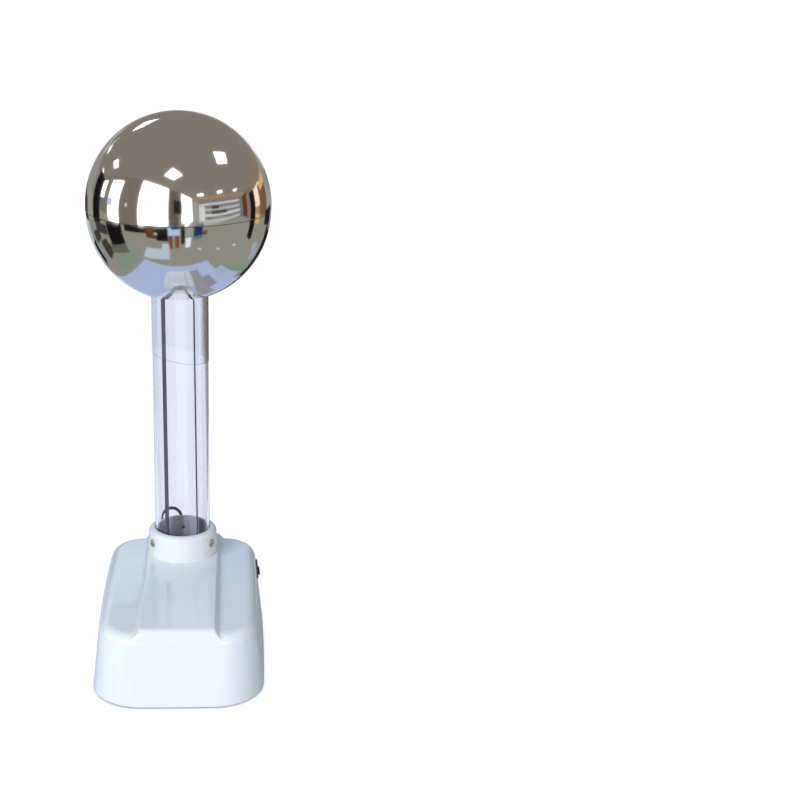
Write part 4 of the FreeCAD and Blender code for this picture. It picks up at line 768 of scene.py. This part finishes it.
def makeRoom():
    top, bottom, half = room["ceilingHeight"], room["floorHeight"], room["half"]
    panel("ceiling", (0, 0, top), (half, 0, 0), (0, half, 0), room["ceiling"])
    panel("roomFloor", (0, 0, bottom), (half, 0, 0), (0, half, 0), room["floor"])
    out, side = turned(room["wallTurn"])
    for name, low, high, colour in (("windowWall", room["wallEnd"], top, room["wall"]),
                                    ("wallFoot", bottom, room["wallEnd"], room["floor"])):
        middle = out * room["wallDistance"] + Vector((0, 0, (low + high) / 2))
        panel(name, middle, side * room["wallHalf"], (0, 0, (high - low) / 2), colour)
    for name, (place, wide, colour) in walls.items():
        panel(name, (*place, (top + bottom) / 2), (*wide, 0), (0, 0, (top - bottom) / 2), colour)
    for name, (place, wide, colour, strength) in brightCeiling["parts"].items():
        panel(name, (place, brightCeiling["distance"], top - brightCeiling["drop"]), (wide, 0, 0),
              (0, brightCeiling["depth"], 0), colour, strength)
    panel("farBoard", farBoard["place"], (farBoard["half"], 0, 0), (0, 0, farBoard["high"]), room["ceiling"])
    makeSights()
    wide, deep = tubeBoards["half"]
    for name, (place, colour) in tubeBoards["parts"].items():
        board = panel(name, (place, tubeBoards["y"], tubeBoards["z"]), (wide, 0, 0), (0, deep, 0), colour)
        board.visible_glossy = False
        board.visible_transmission = True


# the pale floor, whose glow carries a painted contact shadow near the object, and the bench that only shiny
# surfaces show: place, half sizes and colour
bench = {
    "tone": (0.78, 0.79, 0.81), "rough": 0.7, "glow": 1.06, "glowShare": 0.93, "size": 40,
    # a painted contact shadow: the floor's glow turns towards this blue-grey within this reach of the object
    "paintedShadowTone": (0.22, 0.25, 0.33), "paintedShadowReach": 0.006, "paintedShadowRange": (0.15, 0.75), "samples": 8,
    "boards": {
        "benchTop": ((-0.027, 0.25, -0.002), (0.328, 0.5), (172, 188, 222)),
        "benchSide": ((0.315, 0.2, -0.0015), (0.06, 0.24), (170, 184, 206)),
        "benchShade": ((0.125, 0.15, -0.001), (0.04, 0.31), (150, 148, 156)),
        "benchPaper": ((0.19, 0.1, -0.0012), (0.035, 0.12), (146, 144, 152)),
    },
}


def makeBench():
    floor = bpy.data.materials.new("paleFloor")
    floor.use_nodes = True
    tree = floor.node_tree
    shader = tree.nodes["Principled BSDF"]
    shader.inputs["Base Color"].default_value = (*bench["tone"], 1)
    shader.inputs["Roughness"].default_value = bench["rough"]
    glow = tree.nodes.new("ShaderNodeEmission")
    glow.inputs["Strength"].default_value = bench["glow"]
    # painted shadow: an ambient occlusion node darkens the floor's glow colour at the object's foot,
    # standing in for its contact shadow
    corner = tree.nodes.new("ShaderNodeAmbientOcclusion")
    corner.samples = bench["samples"]
    corner.inputs["Distance"].default_value = bench["paintedShadowReach"]
    shadowOpenness = measured(tree, corner.outputs["AO"], *bench["paintedShadowRange"])
    paintedShadowColour = blended(tree, shadowOpenness, bench["paintedShadowTone"], (1, 1, 1), 0.0, 1.0)
    tree.links.new(paintedShadowColour, glow.inputs["Color"])
    share = tree.nodes.new("ShaderNodeMath")
    share.operation = "MULTIPLY"
    share.inputs[1].default_value = bench["glowShare"]
    tree.links.new(raySeen(tree, "Is Camera Ray", "Is Transmission Ray"), share.inputs[0])
    surface = mixed(tree, share.outputs[0], shader, glow)
    tree.links.new(surface, tree.nodes["Material Output"].inputs["Surface"])
    floor.cycles.emission_sampling = "NONE"
    nothingSelected()
    bpy.ops.mesh.primitive_plane_add(size=bench["size"], location=(0, 0, 0))
    plane = newPiece("paleFloorPlane")
    plane.data.materials.append(floor)
    plane.visible_glossy = False
    for name, (place, (wide, deep), colour) in bench["boards"].items():
        panel(name, place, (wide, 0, 0), (0, deep, 0), colour)


def lamp(name, place, aim, size, colour, power):
    light = bpy.data.lights.new(name, "AREA")
    light.shape = "SQUARE"
    light.size = size
    light.color = colour
    light.energy = power
    item = bpy.data.objects.new(name, light)
    bpy.context.scene.collection.objects.link(item)
    item.location = place
    item.rotation_euler = (Vector(aim) - Vector(place)).to_track_quat("-Z", "Y").to_euler()
    item.visible_glossy = False
    item.visible_camera = False
    item.visible_transmission = False


lighting = {
    "worldTone": (0.58, 0.81, 1.0), "worldLevel": 0.40,
    "key": ((-1.4, -2.6, 1.65), (0, 0, 0.12), 1.8, (0.955, 0.96, 0.98), 91.5),
    "fill": ((1.9, -1.6, 1.0), (0, 0, 0.15), 1.4, (1.0, 0.90, 0.74), 9.0),
    "back": ((0.3, 3.0, 0.45), (0, 0.1, 0.08), 1.6, (1.0, 0.93, 0.84), 22.0),
}


def makeLight():
    world = bpy.context.scene.world or bpy.data.worlds.new("studio")
    bpy.context.scene.world = world
    world.use_nodes = True
    tree = world.node_tree
    tree.nodes.clear()
    output = tree.nodes.new("ShaderNodeOutputWorld")
    soft = tree.nodes.new("ShaderNodeBackground")
    soft.inputs["Color"].default_value = (*lighting["worldTone"], 1)
    soft.inputs["Strength"].default_value = lighting["worldLevel"]
    white = tree.nodes.new("ShaderNodeBackground")
    white.inputs["Color"].default_value = (1, 1, 1, 1)
    white.inputs["Strength"].default_value = 1.0
    seen = raySeen(tree, "Is Camera Ray", "Is Transmission Ray", "Is Glossy Ray")
    tree.links.new(mixed(tree, seen, soft, white), output.inputs["Surface"])
    for name in ("key", "fill", "back"):
        lamp(name, *lighting[name])


view = {"place": (0.06474, -1.61666, 0.81355), "turn": (72.3904, -0.6354, -2.1336),
        "lens": 70.563, "shift": (0.125, -0.0125)}


def makeCamera():
    lens = bpy.data.cameras.new("camera")
    lens.sensor_width = 36
    lens.sensor_fit = "HORIZONTAL"
    lens.lens = view["lens"]
    lens.shift_x, lens.shift_y = view["shift"]
    lens.clip_end = 100
    item = bpy.data.objects.new("camera", lens)
    bpy.context.scene.collection.objects.link(item)
    item.location = view["place"]
    item.rotation_euler = [math.radians(angle) for angle in view["turn"]]
    bpy.context.scene.camera = item


makeRoom()
makeBench()
makeLight()
makeCamera()
bpy.context.scene.view_settings.view_transform = "Standard"
print("room, light and camera set")
